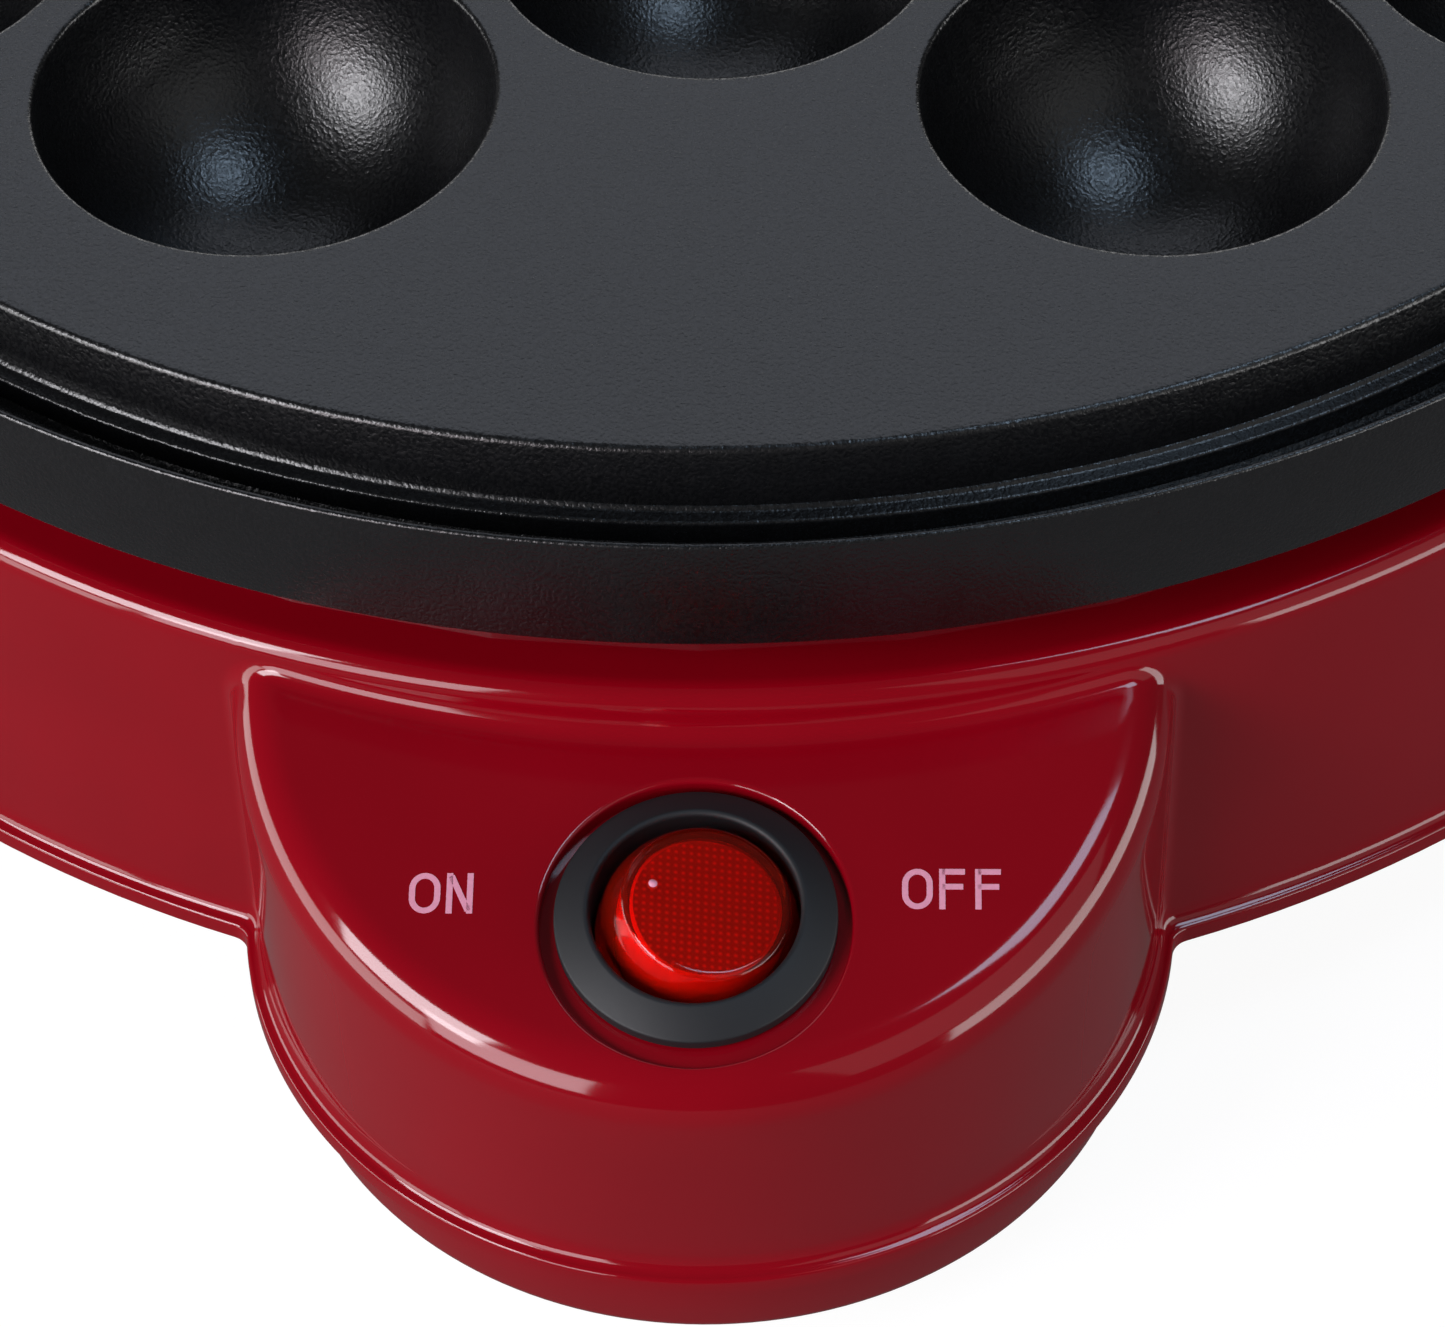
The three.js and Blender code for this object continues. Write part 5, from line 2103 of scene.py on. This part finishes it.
@dataclass
class PhotoCamera:
    """The camera at the photograph's viewpoint, fitted to its edges."""

    position: Point = (0.013886, -0.368708, 0.354925)
    right: Point = (0.99964, 0.01965, -0.01842)
    up: Point = (-0.00214, 0.73974, 0.67289)
    back: Point = (0.02685, -0.67261, 0.73951)
    lens: float = 122.347
    sensor: float = 36.0
    near: float = 0.01
    shift: Flat = (-0.009266, -0.031723)

    def build(self) -> bpy.types.Object:
        """Makes the camera and sets it as the scene's.

        Returns:
            The camera.
        """
        data = bpy.data.cameras.new("photo camera")
        data.sensor_fit = "HORIZONTAL"
        data.sensor_width = self.sensor
        data.lens = self.lens
        data.shift_x, data.shift_y = self.shift
        data.clip_start = self.near
        camera = bpy.data.objects.new("photo camera", data)
        bpy.context.scene.collection.objects.link(camera)
        turn = Matrix((Vector(self.right), Vector(self.up), Vector(self.back))).transposed().to_4x4()
        camera.matrix_world = Matrix.Translation(Vector(self.position)) @ turn
        bpy.context.scene.camera = camera
        return camera


@dataclass(frozen=True)
class Softbox:
    """One soft rectangular lamp, by where it stands, how large it looks and how bright its face is.

    Its width and height are the angles that it spans as seen from the object. Azimuth 0 is the front and
    90 the right, and the distance is in metres.
    """

    name: str
    azimuth: float
    elevation: float
    wide: float
    tall: float
    radiance: float
    colour: str
    distance: float = 1.0

    def build(self, target: Vector) -> None:
        """Hangs the lamp and turns it to the object.

        Args:
            target: what the lamp faces, in metres.
        """
        data = bpy.data.lights.new(self.name, "AREA")
        data.shape = "RECTANGLE"
        data.size, data.size_y = (
            2 * self.distance * math.tan(math.radians(angle / 2)) for angle in (self.wide, self.tall)
        )
        data.energy = self.radiance * math.pi * data.size * data.size_y
        data.color = linear(self.colour)[:3]
        lamp = bpy.data.objects.new(self.name, data)
        bpy.context.scene.collection.objects.link(lamp)
        a, e = math.radians(self.azimuth), math.radians(self.elevation)
        away = Vector((math.sin(a) * math.cos(e), -math.cos(a) * math.cos(e), math.sin(e)))
        lamp.location = target + away * self.distance
        lamp.rotation_mode = "QUATERNION"
        lamp.rotation_quaternion = away.to_track_quat("Z", "Y")
        lamp.visible_camera = False


@dataclass
class Studio:
    """Pale table and surroundings with soft lamps, placed by their reflections in the photograph."""

    target: Vector = field(default_factory=lambda: Vector((0, -0.07, 0.05)))
    lamps: tuple[Softbox, ...] = (
        Softbox("key softbox", -53, 31, 26, 20, 12.0, "#fbfaff"),
        Softbox("left strip light", -80, 8, 60, 19, 4.0, "#ffffff"),
        Softbox("front left softbox", -34, 17, 28, 24, 5.5, "#fff4fa"),
        Softbox("right strip light", 74, 8, 60, 18, 4.2, "#ffffff"),
        Softbox("right front fill", 50, 34, 50, 34, 0.35, "#ffffff"),
        Softbox("rear softbox", 180, 46, 54, 34, 0.88, "#e9f0ff"),
        Softbox("rear strip light", 180, 10, 60, 12, 2.5, "#ffffff"),
        Softbox("overhead softbox", 82, 69, 16, 16, 6.5, "#c6e2ff"),
    )
    sky: float = 0.02
    shown: float = 0.93
    mirrored: float = 0.06
    white: str = "#ffffff"
    table: str = "#656565"
    table_size: float = 8.0
    table_gap: float = 0.0002

    def build(self) -> None:
        """Sets the lamps, the world and the floor."""
        for lamp in self.lamps:
            lamp.build(self.target)
        self.world()
        self.floor()

    def glow(self, tree: bpy.types.NodeTree, shown: float) -> bpy.types.NodeSocket:
        """Makes the backdrop's own light: white to the camera, dim in what gloss and glass mirror of it.

        Args:
            tree: the node tree of the world or the floor.
            shown: strength that the camera sees.

        Returns:
            The socket that carries the strength.
        """
        path = add_node(tree, "ShaderNodeLightPath").outputs
        seen = maths(tree, "MULTIPLY", {1: shown}, {0: path["Is Camera Ray"]})
        reflected = maths(tree, "MAXIMUM", links={0: path["Is Glossy Ray"], 1: path["Is Transmission Ray"]})
        # The real casing mirrors a much darker table than the white one that shows behind it.
        faint = maths(tree, "MULTIPLY", {1: self.mirrored}, {0: reflected})
        return maths(tree, "MAXIMUM", links={0: seen, 1: faint})

    def world(self) -> None:
        """Sets the plain light of the surroundings: white behind the object, dim as a light on it."""
        world = bpy.data.worlds.new("studio")
        bpy.context.scene.world = world
        world.use_nodes = True
        tree = world.node_tree
        tree.nodes.clear()
        strength = maths(tree, "MAXIMUM", {1: self.sky}, {0: self.glow(tree, 1.0)})
        sky = add_node(
            tree,
            "ShaderNodeBackground",
            sockets={"Color": linear(self.white)},
            links={"Strength": strength},
        )
        add_node(tree, "ShaderNodeOutputWorld", links={"Surface": sky.outputs[0]})

    def floor(self) -> None:
        """Lays the table, which shows white to the camera and keeps the object's shadow."""
        deselect()
        bpy.ops.mesh.primitive_plane_add(size=self.table_size, location=(0, 0, -self.table_gap))
        table = bpy.context.active_object
        table.name = "white_table"
        material = bpy.data.materials.new("white laminate table")
        material.use_nodes = True
        tree = material.node_tree
        tree.nodes.clear()
        matt = add_node(tree, "ShaderNodeBsdfDiffuse", sockets={"Color": linear(self.table)})
        glow = add_node(tree, "ShaderNodeEmission", links={"Strength": self.glow(tree, self.shown)})
        both = add_node(tree, "ShaderNodeAddShader", links={0: matt.outputs[0], 1: glow.outputs[0]})
        add_node(tree, "ShaderNodeOutputMaterial", links={"Surface": both.outputs[0]})
        wear(table, material)
        table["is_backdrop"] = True


def main() -> None:
    """Builds the maker's looks round the frame, piece by piece."""
    logging.basicConfig(level=logging.INFO, format="%(message)s")
    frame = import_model()
    cad_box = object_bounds()
    bpy.context.scene.view_settings.view_transform = "Standard"
    low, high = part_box("cooking_plate")
    deck = Deck(Vector(((low.x + high.x) / 2, (low.y + high.y) / 2, high.z)))
    PhotoCamera().build()
    finishes = Finishes()
    casing = UpperCasing(deck)
    assemblies = (
        CookingPlate(deck),
        casing,
        LowerTray(deck),
        Feet(deck),
        CordGland(deck),
        RockerSwitch(deck, casing, frame["nodes"]["plunger_spring"]),
        PanelPrint(deck, casing),
    )
    for assembly in assemblies:
        for piece in assembly.build(finishes):
            log.info("%s: %d faces", piece.name, len(piece.data.polygons))
    InnerWorks(frame["nodes"]).dress(finishes)
    Studio().build()
    boxes = {"cad": cad_box, "visual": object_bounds()}
    plain = {name: [list(corner) for corner in box] for name, box in boxes.items()}


if __name__ == "__main__":
    main()
